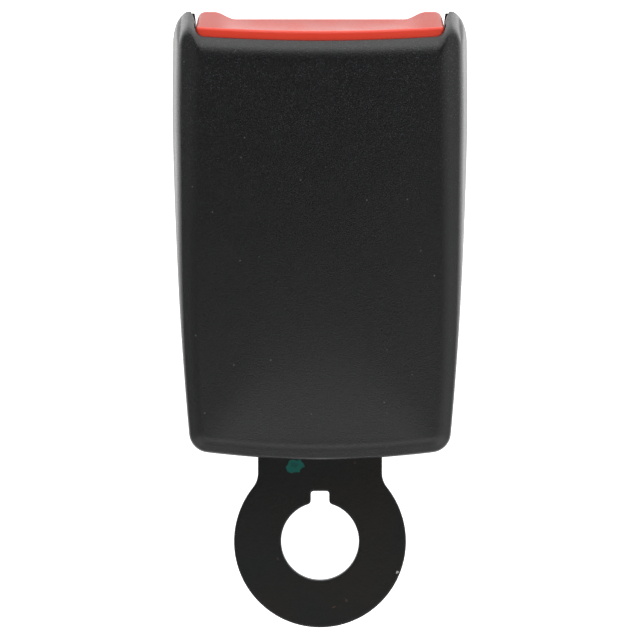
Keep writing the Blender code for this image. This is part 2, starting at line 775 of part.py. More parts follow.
def back_cavity():
    """The hollow of the back cover, up to its collar."""
    stations = outline_stations(COLLAR_START + OVERRUN, False)
    rings = [
        inset_ring(stations, WALL, BACK_DEPTH + OVERRUN, shares=False),
        inset_ring(stations, WALL + SHOULDER_INSET / 2, FLOOR + BACK_EDGE_RADIUS / 2, shares=False),
        inset_ring(stations, BACK_EDGE_RADIUS + SHOULDER_INSET / 2, FLOOR, shares=False),
    ]
    return loft("back_cavity", rings)


def back_opening():
    """The open end's hollow in the back cover."""
    corner = OPENING_CORNER
    side = OPENING_HALF_WIDTH
    right = [(side, BACK_DEPTH + OVERRUN)] + arc((side - corner, FLOOR + corner), corner, 0, -90, 3)
    outline = right + [(-x, z) for x, z in reversed(right)]
    return prism("back_opening", "Y", outline, COLLAR_START, TIP + OVERRUN)


def back_trim_outline():
    """What the sloped end leaves off the back cover, as (y, z) points, seen from the side."""
    slope = math.tan(math.radians(END_ANGLE))
    tip_height = FLOOR + LIP_SETBACK * slope
    return [
        (LIP - (FLOOR + OVERRUN) / slope, -OVERRUN),
        (TIP - TIP_BLUNT, tip_height - TIP_BLUNT * slope),
        (TIP - TIP_BLUNT / 3, tip_height + TIP_BLUNT / 4),
        (TIP + OVERRUN, tip_height + 4 * OVERRUN),
        (TIP + 2 * OVERRUN, tip_height + 4 * OVERRUN),
        (TIP + 2 * OVERRUN, -OVERRUN),
    ]


def spring_post(side):
    """The back cover's post, with its peg, that one button spring pushes against."""
    middle = side * BUTTON_SPRING_X
    end = SPRING_LUG_START - GAP - BUTTON_SPRING_LENGTH - GAP
    half = SPRING_POST_WIDTH / 2
    low = (middle - half, end - SPRING_POST_LENGTH, FLOOR / 2)
    high = (middle + half, end, BUTTON_SPRING_HEIGHT + SPRING_POST_RISE)
    post = box(f"spring_post_{side}", low, high)
    peg = rod("peg", "Y", (middle, BUTTON_SPRING_HEIGHT), SPRING_PEG_RADIUS,
              end - SPRING_POST_LENGTH / 2, end + POST_PEG_LENGTH, SMALL_ROUND_SIDES)
    return join(post, peg)


def floor_rib(side):
    """A rib on the back cover's floor that the frame rests on."""
    middle = side * RIB_SPACING / 2
    half = RIB_THICKNESS / 2
    low = (middle - half, FRAME_Y + GAP, FLOOR / 2)
    high = (middle + half, COLLAR_START - GAP, FRAME_BASE_HEIGHT - GAP)
    return box(f"floor_rib_{side}", low, high)


def back_cover(material):
    """The back half of the housing, with bosses, ribs, spring posts and the anchor plate's notch."""
    cover = back_body(material)
    cut(cover, end_trim("back_end_trim", back_trim_outline()))
    cut(cover, back_cavity())
    cut(cover, back_opening())
    bosses = [
        rod(f"back_boss_{number}", "Z", place, BOSS_RADIUS, FLOOR / 2, BACK_DEPTH)
        for number, place in enumerate(screw_places())
    ]
    join(cover, *bosses)
    recesses = [
        rod(f"head_recess_{number}", "Z", place, SCREW_HEAD_RADIUS + GAP, -OVERRUN, SCREW_SEAT)
        for number, place in enumerate(screw_places())
    ]
    holes = [
        rod(f"back_hole_{number}", "Z", place, SCREW_RADIUS + GAP, -OVERRUN, BACK_DEPTH + OVERRUN,
            SMALL_ROUND_SIDES)
        for number, place in enumerate(screw_places())
    ]
    cut(cover, *recesses)
    cut(cover, *holes)
    join(cover, *[floor_rib(side) for side in (-1, 1)])
    join(cover, *[spring_post(side) for side in (-1, 1)])
    half = NECK_WIDTH / 2 + GAP
    low = (-half, HOUSING_START - OVERRUN, PLATE_BOTTOM - GAP)
    high = (half, HOUSING_START + LOWER_SAG + WALL + OVERRUN, BACK_DEPTH + OVERRUN)
    cut(cover, box("plate_notch", low, high))
    return soften(cover)


# Press button

def smooth_step(value):
    """A rise from 0 to 1 that starts and ends level."""
    value = min(max(value, 0.0), 1.0)
    return value * value * (3 - 2 * value)


def button_crest(x):
    """Where the button's crest lies, seen from the front: low in the middle, with round outer ends."""
    crest = CREST + CREST_RISE * smooth_step((abs(x) - SCOOP_HALF_WIDTH) / SCOOP_RAMP)
    into_corner = abs(x) - (BUTTON_HALF_WIDTH - BUTTON_CORNER)
    if into_corner > 0:
        rest = max(BUTTON_CORNER ** 2 - into_corner ** 2, 0.0)
        crest -= BUTTON_CORNER - math.sqrt(rest)
    return crest


def button_front(x):
    """Height of the button's front face, a gap below the front wall's bowed inner face."""
    flat = OPENING_HALF_WIDTH - OPENING_CORNER
    height = BUTTON_FRONT - CROWN * min(abs(x) / flat, 1.0) ** 2
    into_corner = abs(x) - flat
    if into_corner > 0:
        radius = OPENING_CORNER - GAP
        height -= radius - math.sqrt(max(radius ** 2 - into_corner ** 2, 0.0))
    return height


def button_section(x):
    """The button's outline at one place across it, as (y, z) points."""
    slope = math.tan(math.radians(END_ANGLE))
    front = button_front(x)
    edge = LIP + BUTTON_PROUD + (LIP_HEIGHT - front) / slope
    crest = button_crest(x)
    return [
        (BUTTON_START, BUTTON_BACK),
        (crest - BUTTON_EDGE, BUTTON_BACK),
        (crest - 0.3 * BUTTON_EDGE, BUTTON_BACK + 0.3 * BUTTON_EDGE),
        (crest, BUTTON_BACK + BUTTON_EDGE),
        (crest - 0.3 * BUTTON_EDGE, BUTTON_BACK + 2 * BUTTON_EDGE),
        (edge + 0.5 * BUTTON_EDGE, front - BUTTON_EDGE),
        (edge, front - 0.35 * BUTTON_EDGE),
        (edge - 0.6 * BUTTON_EDGE, front),
        (BUTTON_START, front),
    ]


def press_button(material):
    """The push button: a hollow block whose end is sloped like the housing's, with a scooped crest."""
    places = [BUTTON_HALF_WIDTH * share for share in (0.0, 0.2, 0.4, 0.6)]
    for step in range(6):
        places.append(SCOOP_HALF_WIDTH + SCOOP_RAMP * step / 5)
    for step in range(1, 5):
        angle = math.pi / 2 * step / 4
        places.append(BUTTON_HALF_WIDTH - BUTTON_CORNER * (1 - math.sin(angle)))
    places = sorted({round(place, 6) for place in places if place <= BUTTON_HALF_WIDTH})
    places = [-place for place in places[:0:-1]] + places
    rings = [[(x, y, z) for y, z in button_section(x)] for x in places]
    button = loft("press_button", rings, material)
    slope = math.tan(math.radians(END_ANGLE))
    back = BUTTON_BACK + BUTTON_WALL
    front = BUTTON_FRONT - CROWN - BUTTON_WALL
    end = LIP - BUTTON_WALL
    outline = [
        (BUTTON_START - OVERRUN, back),
        (end + (LIP_HEIGHT - back) / slope - BUTTON_WALL, back),
        (end, front),
        (BUTTON_START - OVERRUN, front),
    ]
    half = BUTTON_HALF_WIDTH - BUTTON_WALL
    cut(button, prism("button_hollow", "X", outline, -half, half))
    return soften(button)


# Steel pieces

def plate_outline():
    """The anchor plate's outline: a ring, a filleted neck and a square inner end."""
    half = NECK_WIDTH / 2
    centre_x = half + NECK_FILLET
    centre_y = math.sqrt((RING_RADIUS + NECK_FILLET) ** 2 - centre_x ** 2)
    meeting = math.degrees(math.atan2(centre_y, centre_x))
    ring = arc((0, 0), RING_RADIUS, -90, meeting, 22)
    fillet = arc((centre_x, centre_y), NECK_FILLET, meeting + 180, 180, 5)[1:]
    right = ring + fillet + [(half, PLATE_END - PLATE_CORNER), (half - PLATE_CORNER, PLATE_END)]
    return right + [(-x, y) for x, y in right[:0:-1]]


def keyed_hole():
    """The cutter for the bolt hole and its keyway."""
    half = KEYWAY_WIDTH / 2
    reach = BOLT_HOLE_RADIUS + KEYWAY_DEPTH
    start = math.degrees(math.asin(half / BOLT_HOLE_RADIUS))
    corner = KEYWAY_WIDTH / 8
    round_part = arc((0, 0), BOLT_HOLE_RADIUS, 90 + start, 450 - start, 36)
    right = arc((half - corner, reach - corner), corner, 0, 90, 3)
    left = arc((-half + corner, reach - corner), corner, 90, 180, 3)
    return prism("keyed_hole", "Z", round_part + right + left, PLATE_BOTTOM - OVERRUN, PLATE_TOP + OVERRUN)


def anchor_plate(material):
    """The flat steel plate that bolts to the car, or to the tongue of another belt."""
    plate = prism("anchor_plate", "Z", plate_outline(), PLATE_BOTTOM, PLATE_TOP, material)
    cut(plate, keyed_hole())
    holes = [
        rod(f"rivet_hole_{side}", "Z", (side * RIVET_SPACING / 2, RIVET_Y), RIVET_RADIUS + GAP,
            PLATE_BOTTOM - OVERRUN, PLATE_TOP + OVERRUN)
        for side in (-1, 1)
    ]
    cut(plate, *holes)
    split_faces(plate, HOUSING_START - 2 * GAP)
    return soften(plate)


def split_faces(piece, y):
    """Cut the faces of a flat piece along a line across it, and leave it one body."""
    mesh_data = bmesh.new()
    mesh_data.from_mesh(piece.data)
    everything = mesh_data.verts[:] + mesh_data.edges[:] + mesh_data.faces[:]
    bmesh.ops.bisect_plane(mesh_data, geom=everything, plane_co=(0, y, 0), plane_no=(0, 1, 0))
    mesh_data.to_mesh(piece.data)
    mesh_data.free()


def anchor_rivet(name, side, material):
    """A rivet through the anchor plate and the frame, with a low round head on each side."""
    low_seat = FRAME_BASE_HEIGHT - GAP
    high_seat = PLATE_TOP + GAP
    bevel = RIVET_HEAD_HEIGHT / 3
    low = low_seat - RIVET_HEAD_HEIGHT
    high = high_seat + RIVET_HEAD_HEIGHT
    profile = [
        (RIVET_HEAD_RADIUS - 2 * bevel, low),
        (RIVET_HEAD_RADIUS, low + 2 * bevel),
        (RIVET_HEAD_RADIUS, low_seat),
        (RIVET_RADIUS, low_seat),
        (RIVET_RADIUS, high_seat),
        (RIVET_HEAD_RADIUS, high_seat),
        (RIVET_HEAD_RADIUS, high - 2 * bevel),
        (RIVET_HEAD_RADIUS - 2 * bevel, high),
    ]
    centre = (side * RIVET_SPACING / 2, RIVET_Y)
    return soften(turned(name, "Z", centre, profile, SMALL_ROUND_SIDES, material))


def wall_trim_outline():
    """What is cut off above the frame's side walls, as (y, z) points, seen from the side."""
    over = FRONT_TOP
    high_start = PIVOT_Y - FRAME_BEHIND_PIVOT
    high_end = TOOTH_END + FRAME_PAST_TOOTH
    ramp = FRAME_THICKNESS / 2
    shelf = bridge_bottom() - GAP
    bridge_low = LATCH_SPRING_Y - BRIDGE_LENGTH / 2
    bridge_high = LATCH_SPRING_Y + BRIDGE_LENGTH / 2
    tab_low = LATCH_SPRING_Y - TAB_LENGTH / 2
    tab_high = LATCH_SPRING_Y + TAB_LENGTH / 2
    tab_top = bridge_bottom() + BRIDGE_THICKNESS + GAP
    notch = FOLLOWER_RADIUS + GAP
    notch_low = FOLLOWER_Y - notch - FOLLOWER_RADIUS / 2
    notch_high = FOLLOWER_Y + notch
    notch_floor = FOLLOWER_Z - notch
    return [
        (FRAME_Y - OVERRUN, over),
        (FRAME_Y - OVERRUN, FRAME_LOW_WALL),
        (high_start - ramp, FRAME_LOW_WALL),
        (high_start + ramp, FRAME_HIGH_WALL),
        (bridge_low, FRAME_HIGH_WALL),
        (bridge_low, shelf),
        (tab_low, shelf),
        (tab_low, tab_top),
        (tab_high, tab_top),
        (tab_high, shelf),
        (bridge_high - ramp, shelf),
        (bridge_high - ramp, FRAME_HIGH_WALL),
        (notch_low, FRAME_HIGH_WALL),
        (notch_low, notch_floor + notch / 2),
        (notch_low + notch / 2, notch_floor),
        (notch_high - notch / 2, notch_floor),
        (notch_high, notch_floor + notch / 2),
        (notch_high, FRAME_HIGH_WALL),
        (high_end - ramp, FRAME_HIGH_WALL),
        (high_end + ramp, FRAME_LOW_WALL),
        (FRAME_END + OVERRUN, FRAME_LOW_WALL),
        (FRAME_END + OVERRUN, over),
    ]


def base_frame(material):
    """The folded steel channel that carries the latch and takes the belt's load."""
    top = bridge_bottom() + BRIDGE_THICKNESS + 2 * GAP
    section = [
        (-FRAME_OUTER, FRAME_BASE_HEIGHT),
        (FRAME_OUTER, FRAME_BASE_HEIGHT),
        (FRAME_OUTER, top),
        (FRAME_INNER, top),
        (FRAME_INNER, BASE_TOP),
        (-FRAME_INNER, BASE_TOP),
        (-FRAME_INNER, top),
        (-FRAME_OUTER, top),
    ]
    frame = prism("base_frame", "Y", section, FRAME_Y, FRAME_END, material)
    cut(frame, end_trim("wall_trim", wall_trim_outline()))
    reach = FRAME_OUTER + OVERRUN
    pivot_hole = rod("pivot_hole", "X", (PIVOT_Y, PIVOT_HEIGHT), PIVOT_PIN_RADIUS + GAP, -reach, reach)
    half = TOOTH_WIDTH / 2 + EJECTOR_SLOT_CLEARANCE
    middle = (TOOTH_START + TOOTH_END) / 2
    window = box(
        "tooth_window",
        (-half, middle - WINDOW_LENGTH / 2, FRAME_BASE_HEIGHT - OVERRUN),
        (half, middle + WINDOW_LENGTH / 2, BASE_TOP + OVERRUN),
    )
    rivet_holes = [
        rod(f"frame_rivet_hole_{side}", "Z", (side * RIVET_SPACING / 2, RIVET_Y), RIVET_RADIUS + GAP,
            FRAME_BASE_HEIGHT - OVERRUN, BASE_TOP + OVERRUN)
        for side in (-1, 1)
    ]
    cut(frame, pivot_hole, window, *rivet_holes)
    return soften(frame)


def headed_pin(name, place, radius, head_radius, head_height, reach, material):
    """A pin across the buckle, with a head at each end beyond its reach."""
    profile = [
        (head_radius, -reach - head_height),
        (head_radius, -reach),
        (radius, -reach),
        (radius, reach),
        (head_radius, reach),
        (head_radius, reach + head_height),
    ]
    return soften(turned(name, "X", place, profile, ROUND_SIDES, material))


def latch_plate(material):
    """The locking plate: a barrel on the pivot pin, an arm, its tooth and the lugs for the follower."""
    half = LATCH_HALF_WIDTH
    pivot = (PIVOT_Y, PIVOT_HEIGHT)
    latch = rod("latch_plate", "X", pivot, BARREL_RADIUS, -half, half, ROUND_SIDES, material)
    arm_edge = half - GAP
    arm = box("arm", (-arm_edge, PIVOT_Y, LATCH_BOTTOM), (arm_edge, TOOTH_END, LATCH_TOP))
    tooth = box(
        "tooth",
        (-TOOTH_WIDTH / 2, TOOTH_START, PIVOT_HEIGHT - TOOTH_DEPTH),
        (TOOTH_WIDTH / 2, TOOTH_END - GAP / 3, LATCH_BOTTOM + LATCH_THICKNESS / 2),
    )
    join(latch, arm)
    join(latch, tooth)
    outer = half - LUG_INSET
    inner = outer - LUG_THICKNESS
    follower = (FOLLOWER_Y, FOLLOWER_Z)
    lugs = [
        rod(f"lug_{side}", "X", follower, LUG_RADIUS, min(side * inner, side * outer),
            max(side * inner, side * outer))
        for side in (-1, 1)
    ]
    peg = rod("latch_peg", "Z", (0, LATCH_SPRING_Y), SPRING_PEG_RADIUS, LATCH_BOTTOM + LATCH_THICKNESS / 2,
              LATCH_TOP + LATCH_PEG_LENGTH, SMALL_ROUND_SIDES)
    join(latch, *lugs, peg)
    reach = half + OVERRUN
    cut(
        latch,
        rod("barrel_hole", "X", pivot, PIVOT_PIN_RADIUS + GAP, -reach, reach),
        rod("follower_hole", "X", follower, FOLLOWER_RADIUS + GAP, -reach, reach, SMALL_ROUND_SIDES),
    )
    return soften(latch)


def spring_bridge(material):
    """The steel strap across the frame that the latch spring pushes against."""
    low_y = LATCH_SPRING_Y - BRIDGE_LENGTH / 2
    high_y = LATCH_SPRING_Y + BRIDGE_LENGTH / 2
    bottom = bridge_bottom()
    top = bottom + BRIDGE_THICKNESS
    half = FRAME_OUTER
    bridge = box("spring_bridge", (-half, low_y, bottom), (half, high_y, top), material)
    notches = []
    for side in (-1, 1):
        inner = side * (FRAME_INNER - GAP)
        outer = side * (FRAME_OUTER + OVERRUN)
        low = (min(inner, outer), LATCH_SPRING_Y - TAB_LENGTH / 2 - GAP, bottom - OVERRUN)
        high = (max(inner, outer), LATCH_SPRING_Y + TAB_LENGTH / 2 + GAP, top + OVERRUN)
        notches.append(box(f"tab_notch_{side}", low, high))
    cut(bridge, *notches)
    peg = rod("bridge_peg", "Z", (0, LATCH_SPRING_Y), SPRING_PEG_RADIUS, bottom - LATCH_PEG_LENGTH,
              bottom + BRIDGE_THICKNESS / 2, SMALL_ROUND_SIDES)
    join(bridge, peg)
    return soften(bridge)


# Plastic pieces inside

def follower_path():
    """Where the follower pin runs in the slider, as (y, z) points, while the button is pressed."""
    points = []
    steps = 8
    for step in range(steps + 1):
        share = step / steps
        angle = math.radians(LATCH_SWING) * share
        y = PIVOT_Y + FOLLOWER_REACH * math.cos(angle) - FOLLOWER_RISE * math.sin(angle)
        z = PIVOT_HEIGHT + FOLLOWER_REACH * math.sin(angle) + FOLLOWER_RISE * math.cos(angle)
        points.append((y + BUTTON_TRAVEL * share, z))
    return points


def release_slider(material):
    """The slide behind the button: two cam plates, a crossbar and a lug for each button spring."""
    start = FOLLOWER_Y - SLIDER_BACK
    shoulder = BUTTON_START - GAP
    end = BUTTON_START + PRONG_LENGTH
    prong_low = BUTTON_BACK + BUTTON_WALL + GAP
    prong_high = BUTTON_FRONT - CROWN - BUTTON_WALL - GAP
    cam_path = follower_path()
    top = cam_path[-1][1] + FOLLOWER_RADIUS + GAP + SLIDER_WEB
    side_view = [
        (start, SLIDER_FOOT),
        (shoulder, SLIDER_FOOT),
        (shoulder, prong_low),
        (end, prong_low),
        (end, prong_high),
        (shoulder, prong_high),
        (shoulder, top),
        (start, top),
    ]
    slider = prism("release_slider", "X", side_view, -SLIDER_OUTER, -SLIDER_INNER, material)
    other = prism("other_plate", "X", side_view, SLIDER_INNER, SLIDER_OUTER)
    bar_high = prong_high + CROSSBAR_DEPTH / 2
    bar = box(
        "crossbar",
        (-SLIDER_INNER - SLIDER_PLATE / 2, shoulder - GAP - CROSSBAR_LENGTH, bar_high - CROSSBAR_DEPTH),
        (SLIDER_INNER + SLIDER_PLATE / 2, shoulder - GAP, bar_high),
    )
    join(slider, bar)
    join(slider, other)
    lugs = []
    for side in (-1, 1):
        inner = side * (SLIDER_OUTER - GAP)
        outer = side * (SLIDER_OUTER + SPRING_LUG_WIDTH)
        half = SPRING_LUG_DEPTH / 2
        low = (min(inner, outer), SPRING_LUG_START, BUTTON_SPRING_HEIGHT - half)
        high = (max(inner, outer), SPRING_LUG_START + SPRING_LUG_LENGTH, BUTTON_SPRING_HEIGHT + half)
        lug = box(f"spring_lug_{side}", low, high)
        centre = (side * BUTTON_SPRING_X, BUTTON_SPRING_HEIGHT)
        peg = rod("lug_peg", "Y", centre, SPRING_PEG_RADIUS, SPRING_LUG_START - POST_PEG_LENGTH,
                  SPRING_LUG_START + SPRING_LUG_LENGTH / 2, SMALL_ROUND_SIDES)
        lugs.append(join(lug, peg))
    join(slider, *lugs)
    reach = SLIDER_OUTER + OVERRUN
    slot = channel_path(cam_path, FOLLOWER_RADIUS + GAP)
    cut(slider, prism("cam_slot", "X", slot, -reach, reach))
    return soften(slider)


def ejector(material):
    """The sprung fork that pushes the tongue out, with its tooth slot and its spring pocket."""
    half = FRAME_INNER - EJECTOR_CLEARANCE
    piece = box("ejector", (-half, EJECTOR_START, PLATE_BOTTOM), (half, EJECTOR_END, PLATE_TOP), material)
    slot_start = TOOTH_START - EJECTOR_SLOT_LEAD
    hump = box(
        "hump",
        (-EJECTOR_HUMP_WIDTH / 2, EJECTOR_START, (PLATE_BOTTOM + PLATE_TOP) / 2),
        (EJECTOR_HUMP_WIDTH / 2, slot_start - 2 * GAP, HUMP_TOP),
    )
    join(piece, hump)
    slot_half = TOOTH_WIDTH / 2 + EJECTOR_SLOT_CLEARANCE
    slot = box(
        "fork_slot",
        (-slot_half, slot_start, PLATE_BOTTOM - OVERRUN),
        (slot_half, EJECTOR_END + OVERRUN, PLATE_TOP + OVERRUN),
    )
    pocket_half = EJECTOR_SPRING_RADIUS + GAP
    pocket = box(
        "spring_pocket",
        (-pocket_half, EJECTOR_START - OVERRUN, PLATE_BOTTOM - OVERRUN),
        (pocket_half, EJECTOR_START + POCKET_DEPTH, POCKET_TOP),
    )
    cut(piece, slot, pocket)
    return soften(piece)


def ejector_spring_seat(material):
    """The small block behind the ejector that its spring pushes against."""
    half = SPRING_SEAT_WIDTH / 2
    top = PLATE_BOTTOM + SPRING_SEAT_HEIGHT
    seat = box("ejector_spring_seat", (-half, SEAT_START, PLATE_BOTTOM), (half, SEAT_END, top), material)
    peg = rod("seat_peg", "Y", (0, EJECTOR_SPRING_Z), SEAT_PEG_RADIUS, SEAT_END - SPRING_SEAT_LENGTH / 2,
              SEAT_END + SEAT_PEG_LENGTH, SMALL_ROUND_SIDES)
    join(seat, peg)
    return soften(seat)


def tongue_guide(material):
    """The mouth below the button that leads the tongue in."""
    slope = math.tan(math.radians(END_ANGLE))
    half = OPENING_HALF_WIDTH - GAP
    low = FLOOR + GAP
    end = GUIDE_END
    start = GUIDE_START
    side_view = [
        (start, low),
        (end - (SLOT_BOTTOM - low) / slope, low),
        (end, SLOT_BOTTOM),
        (end, GUIDE_TOP),
        (start, GUIDE_TOP),
    ]
    guide = prism("tongue_guide", "X", side_view, -half, half, material)
    cut(guide, *[guide_corner(side, half, low, start, end) for side in (-1, 1)])
    slot_half = SLOT_HALF_WIDTH
    slot_low = (-slot_half, start - OVERRUN, SLOT_BOTTOM)
    slot_high = (slot_half, end + OVERRUN, SLOT_TOP)
    mouth = loft(
        "slot_mouth",
        [
            slot_ring(slot_half, SLOT_BOTTOM, end - SLOT_FLARE),
            slot_ring(slot_half + 2 * SLOT_FLARE, SLOT_BOTTOM - 2 * SLOT_FLARE, end + SLOT_FLARE),
        ],
    )
    cut(guide, box("tongue_slot", slot_low, slot_high))
    cut(guide, mouth)
    return soften(guide)


def slot_ring(half, low, y):
    """The tongue slot's section at one place, under a level top."""
    return [(-half, y, low), (half, y, low), (half, y, SLOT_TOP), (-half, y, SLOT_TOP)]


def guide_corner(side, half, low, start, end):
    """The cutter that rounds one lower edge of the tongue guide."""
    corner = OPENING_CORNER
    turn = arc((half - corner, low + corner), corner, -90, 0, 3)
    outer = half + OVERRUN
    outline = turn + [(outer, low + corner), (outer, low - OVERRUN), (half - corner, low - OVERRUN)]
    outline = [(side * x, z) for x, z in outline]
    return prism(f"guide_corner_{side}", "Y", outline, start - OVERRUN, end + OVERRUN)


def cover_screw(name, place, material):
    """A screw from the back, through the back cover's boss into the front cover's."""
    seat = SCREW_SEAT - GAP
    head = seat - SCREW_HEAD_HEIGHT
    end = FRONT_BASE + SCREW_ENGAGEMENT
    bevel = SCREW_HEAD_HEIGHT / 4
    profile = [
        (SCREW_HEAD_RADIUS - bevel, head),
        (SCREW_HEAD_RADIUS, head + bevel),
        (SCREW_HEAD_RADIUS, seat),
        (SCREW_RADIUS, seat),
        (SCREW_RADIUS, end - SCREW_RADIUS),
        (SCREW_RADIUS / 3, end),
    ]
    screw = turned(name, "Z", place, profile, SMALL_ROUND_SIDES, material)
    half = DRIVE_SLOT_LENGTH / 2
    thin = DRIVE_SLOT_WIDTH / 2
    for turn in (False, True):
        reach = (thin, half) if turn else (half, thin)
        low = (place[0] - reach[0], place[1] - reach[1], head - OVERRUN)
        high = (place[0] + reach[0], place[1] + reach[1], head + DRIVE_SLOT_DEPTH)
        cut(screw, box("drive_slot", low, high))
    return soften(screw)


# Assembly

def axis_empty(name, place, parent=None):
    """An empty that carries the pieces of one body."""
    empty = bpy.data.objects.new(name, None)
    bpy.context.scene.collection.objects.link(empty)
    empty.empty_display_size = 0.01
    empty.location = place
    empty.parent = parent
    return empty


def carry(empty, *pieces):
    """Hang pieces on an empty and keep their places, with their origins on it."""
    place = Vector(empty.location) if empty.parent else Vector((0, 0, 0))
    for piece in pieces:
        if piece.type == "CURVE":
            piece.location = -place
        else:
            for vertex in piece.data.vertices:
                vertex.co -= place
        piece.parent = empty


def main():
    clear_scene()
    cover_black = make_material("cover_black", (0.014, 0.014, 0.015), 0.55)
    button_red = make_material("button_red", (0.62, 0.034, 0.02), 0.4)
    inner_black = make_material("inner_black", (0.02, 0.02, 0.021), 0.5)
    plate_black = make_material("plate_black", (0.012, 0.014, 0.013), 0.42, 0.2)
    frame_steel = make_material("frame_steel", (0.52, 0.5, 0.42), 0.38, 1.0)
    pin_steel = make_material("pin_steel", (0.56, 0.56, 0.57), 0.3, 1.0)
    spring_steel = make_material("spring_steel", (0.62, 0.62, 0.63), 0.28, 1.0)
    ejector_white = make_material("ejector_white", (0.72, 0.71, 0.67), 0.45)
    screw_black = make_material("screw_black", (0.03, 0.03, 0.032), 0.35, 1.0)

    middle = (TIP - RING_RADIUS) / 2
    base = axis_empty("adapter_frame", (0, -middle, 0))
    carry(
        base,
        front_cover(cover_black),
        back_cover(cover_black),
        anchor_plate(plate_black),
        anchor_rivet("anchor_rivet_left", -1, pin_steel),
        anchor_rivet("anchor_rivet_right", 1, pin_steel),
        base_frame(frame_steel),
        spring_bridge(frame_steel),
        ejector_spring_seat(inner_black),
        tongue_guide(inner_black),
        headed_pin("latch_pivot_pin", (PIVOT_Y, PIVOT_HEIGHT), PIVOT_PIN_RADIUS, PIN_HEAD_RADIUS,
                   PIN_HEAD_HEIGHT, FRAME_OUTER + GAP, pin_steel),
    )
    for number, place in enumerate(screw_places()):
        carry(base, cover_screw(f"cover_screw_{number + 1}", place, screw_black))

    spring_end = SPRING_LUG_START - GAP
    for name, side in (("button_spring_left", -1), ("button_spring_right", 1)):
        centre = (side * BUTTON_SPRING_X, BUTTON_SPRING_HEIGHT)
        carry(base, coil_spring(name, "Y", centre, spring_end - BUTTON_SPRING_LENGTH, BUTTON_SPRING_LENGTH,
                                BUTTON_SPRING_RADIUS, BUTTON_SPRING_WIRE, BUTTON_SPRING_TURNS, spring_steel))
    latch_spring_length = bridge_bottom() - LATCH_TOP - 2 * GAP
    ejector_spring_length = EJECTOR_START + POCKET_DEPTH - SEAT_END - 2 * GAP
    carry(
        base,
        coil_spring("ejector_spring", "Y", (0, EJECTOR_SPRING_Z), SEAT_END + GAP, ejector_spring_length,
                    EJECTOR_SPRING_RADIUS, EJECTOR_SPRING_WIRE, EJECTOR_SPRING_TURNS, spring_steel),
        coil_spring("latch_spring", "Z", (0, LATCH_SPRING_Y), LATCH_TOP + GAP, latch_spring_length,
                    LATCH_SPRING_RADIUS, LATCH_SPRING_WIRE, LATCH_SPRING_TURNS, spring_steel),
    )

    button_axis = axis_empty("button_axis", (0, BUTTON_START, BUTTON_SPRING_HEIGHT), base)
    carry(button_axis, press_button(button_red), release_slider(inner_black))
    latch_axis = axis_empty("latch_axis", (0, PIVOT_Y, PIVOT_HEIGHT), base)
    follower = rod("cam_follower_pin", "X", (FOLLOWER_Y, FOLLOWER_Z), FOLLOWER_RADIUS,
                   -SLIDER_OUTER - GAP, SLIDER_OUTER + GAP, SMALL_ROUND_SIDES, pin_steel)
    carry(latch_axis, latch_plate(frame_steel), soften(follower))
    ejector_axis = axis_empty("ejector_axis", (0, EJECTOR_START, EJECTOR_SPRING_Z), base)
    carry(ejector_axis, ejector(ejector_white))


main()
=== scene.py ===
"""Looks of the seat belt buckle adapter: its shells, button, plate, springs and finishes.

X is the buckle's width, Y its length towards the push button, and Z its thickness from the flat
back at z = 0. Sizes are in metres. Named angles are in degrees, and those inside the functions
in radians.
"""

from collections import namedtuple
from math import asin, atan, atan2, cos, degrees, exp, hypot, pi, radians, sin, sqrt, tan

import bmesh
import bpy
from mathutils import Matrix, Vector


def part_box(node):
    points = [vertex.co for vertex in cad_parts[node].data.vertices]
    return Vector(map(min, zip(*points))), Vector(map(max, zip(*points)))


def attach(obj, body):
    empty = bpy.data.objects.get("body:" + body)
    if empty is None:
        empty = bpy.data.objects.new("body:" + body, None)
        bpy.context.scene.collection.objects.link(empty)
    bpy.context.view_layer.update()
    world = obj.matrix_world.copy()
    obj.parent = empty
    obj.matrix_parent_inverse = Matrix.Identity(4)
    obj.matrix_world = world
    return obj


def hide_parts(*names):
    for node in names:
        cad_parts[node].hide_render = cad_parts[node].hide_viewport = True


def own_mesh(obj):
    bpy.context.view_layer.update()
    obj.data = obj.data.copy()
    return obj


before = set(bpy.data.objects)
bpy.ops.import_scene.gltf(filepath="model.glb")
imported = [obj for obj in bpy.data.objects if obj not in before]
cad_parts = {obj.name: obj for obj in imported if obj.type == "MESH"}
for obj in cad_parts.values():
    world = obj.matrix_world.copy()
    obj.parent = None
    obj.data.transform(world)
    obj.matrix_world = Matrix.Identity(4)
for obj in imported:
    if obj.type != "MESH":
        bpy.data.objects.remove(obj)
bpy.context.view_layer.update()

# The solids that the finer shapes are fitted to
FRONT_LOW, FRONT_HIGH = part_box("front_cover")
PLATE_LOW, PLATE_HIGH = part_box("anchor_plate")
BUTTON_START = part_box("press_button")[0].y
FRAME_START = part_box("base_frame")[0].y

# Housing outline
HOUSING_START = FRONT_LOW.y
TIP = FRONT_HIGH.y
HOUSING_LENGTH = TIP - HOUSING_START
HOUSING_WIDTH = 0.06034
WIDEST = HOUSING_START + 0.071
SIDE_TAPER = 0.00408
TAPER_POWER = 1.6
TIP_TAPER = 0.00025
LOWER_SAG = 0.00126
LOWER_CORNER = 0.0043
EAR_CORNER_WIDTH = 0.0033
EAR_CORNER_LENGTH = 0.0064
EAR_CORNER_START = TIP - EAR_CORNER_LENGTH

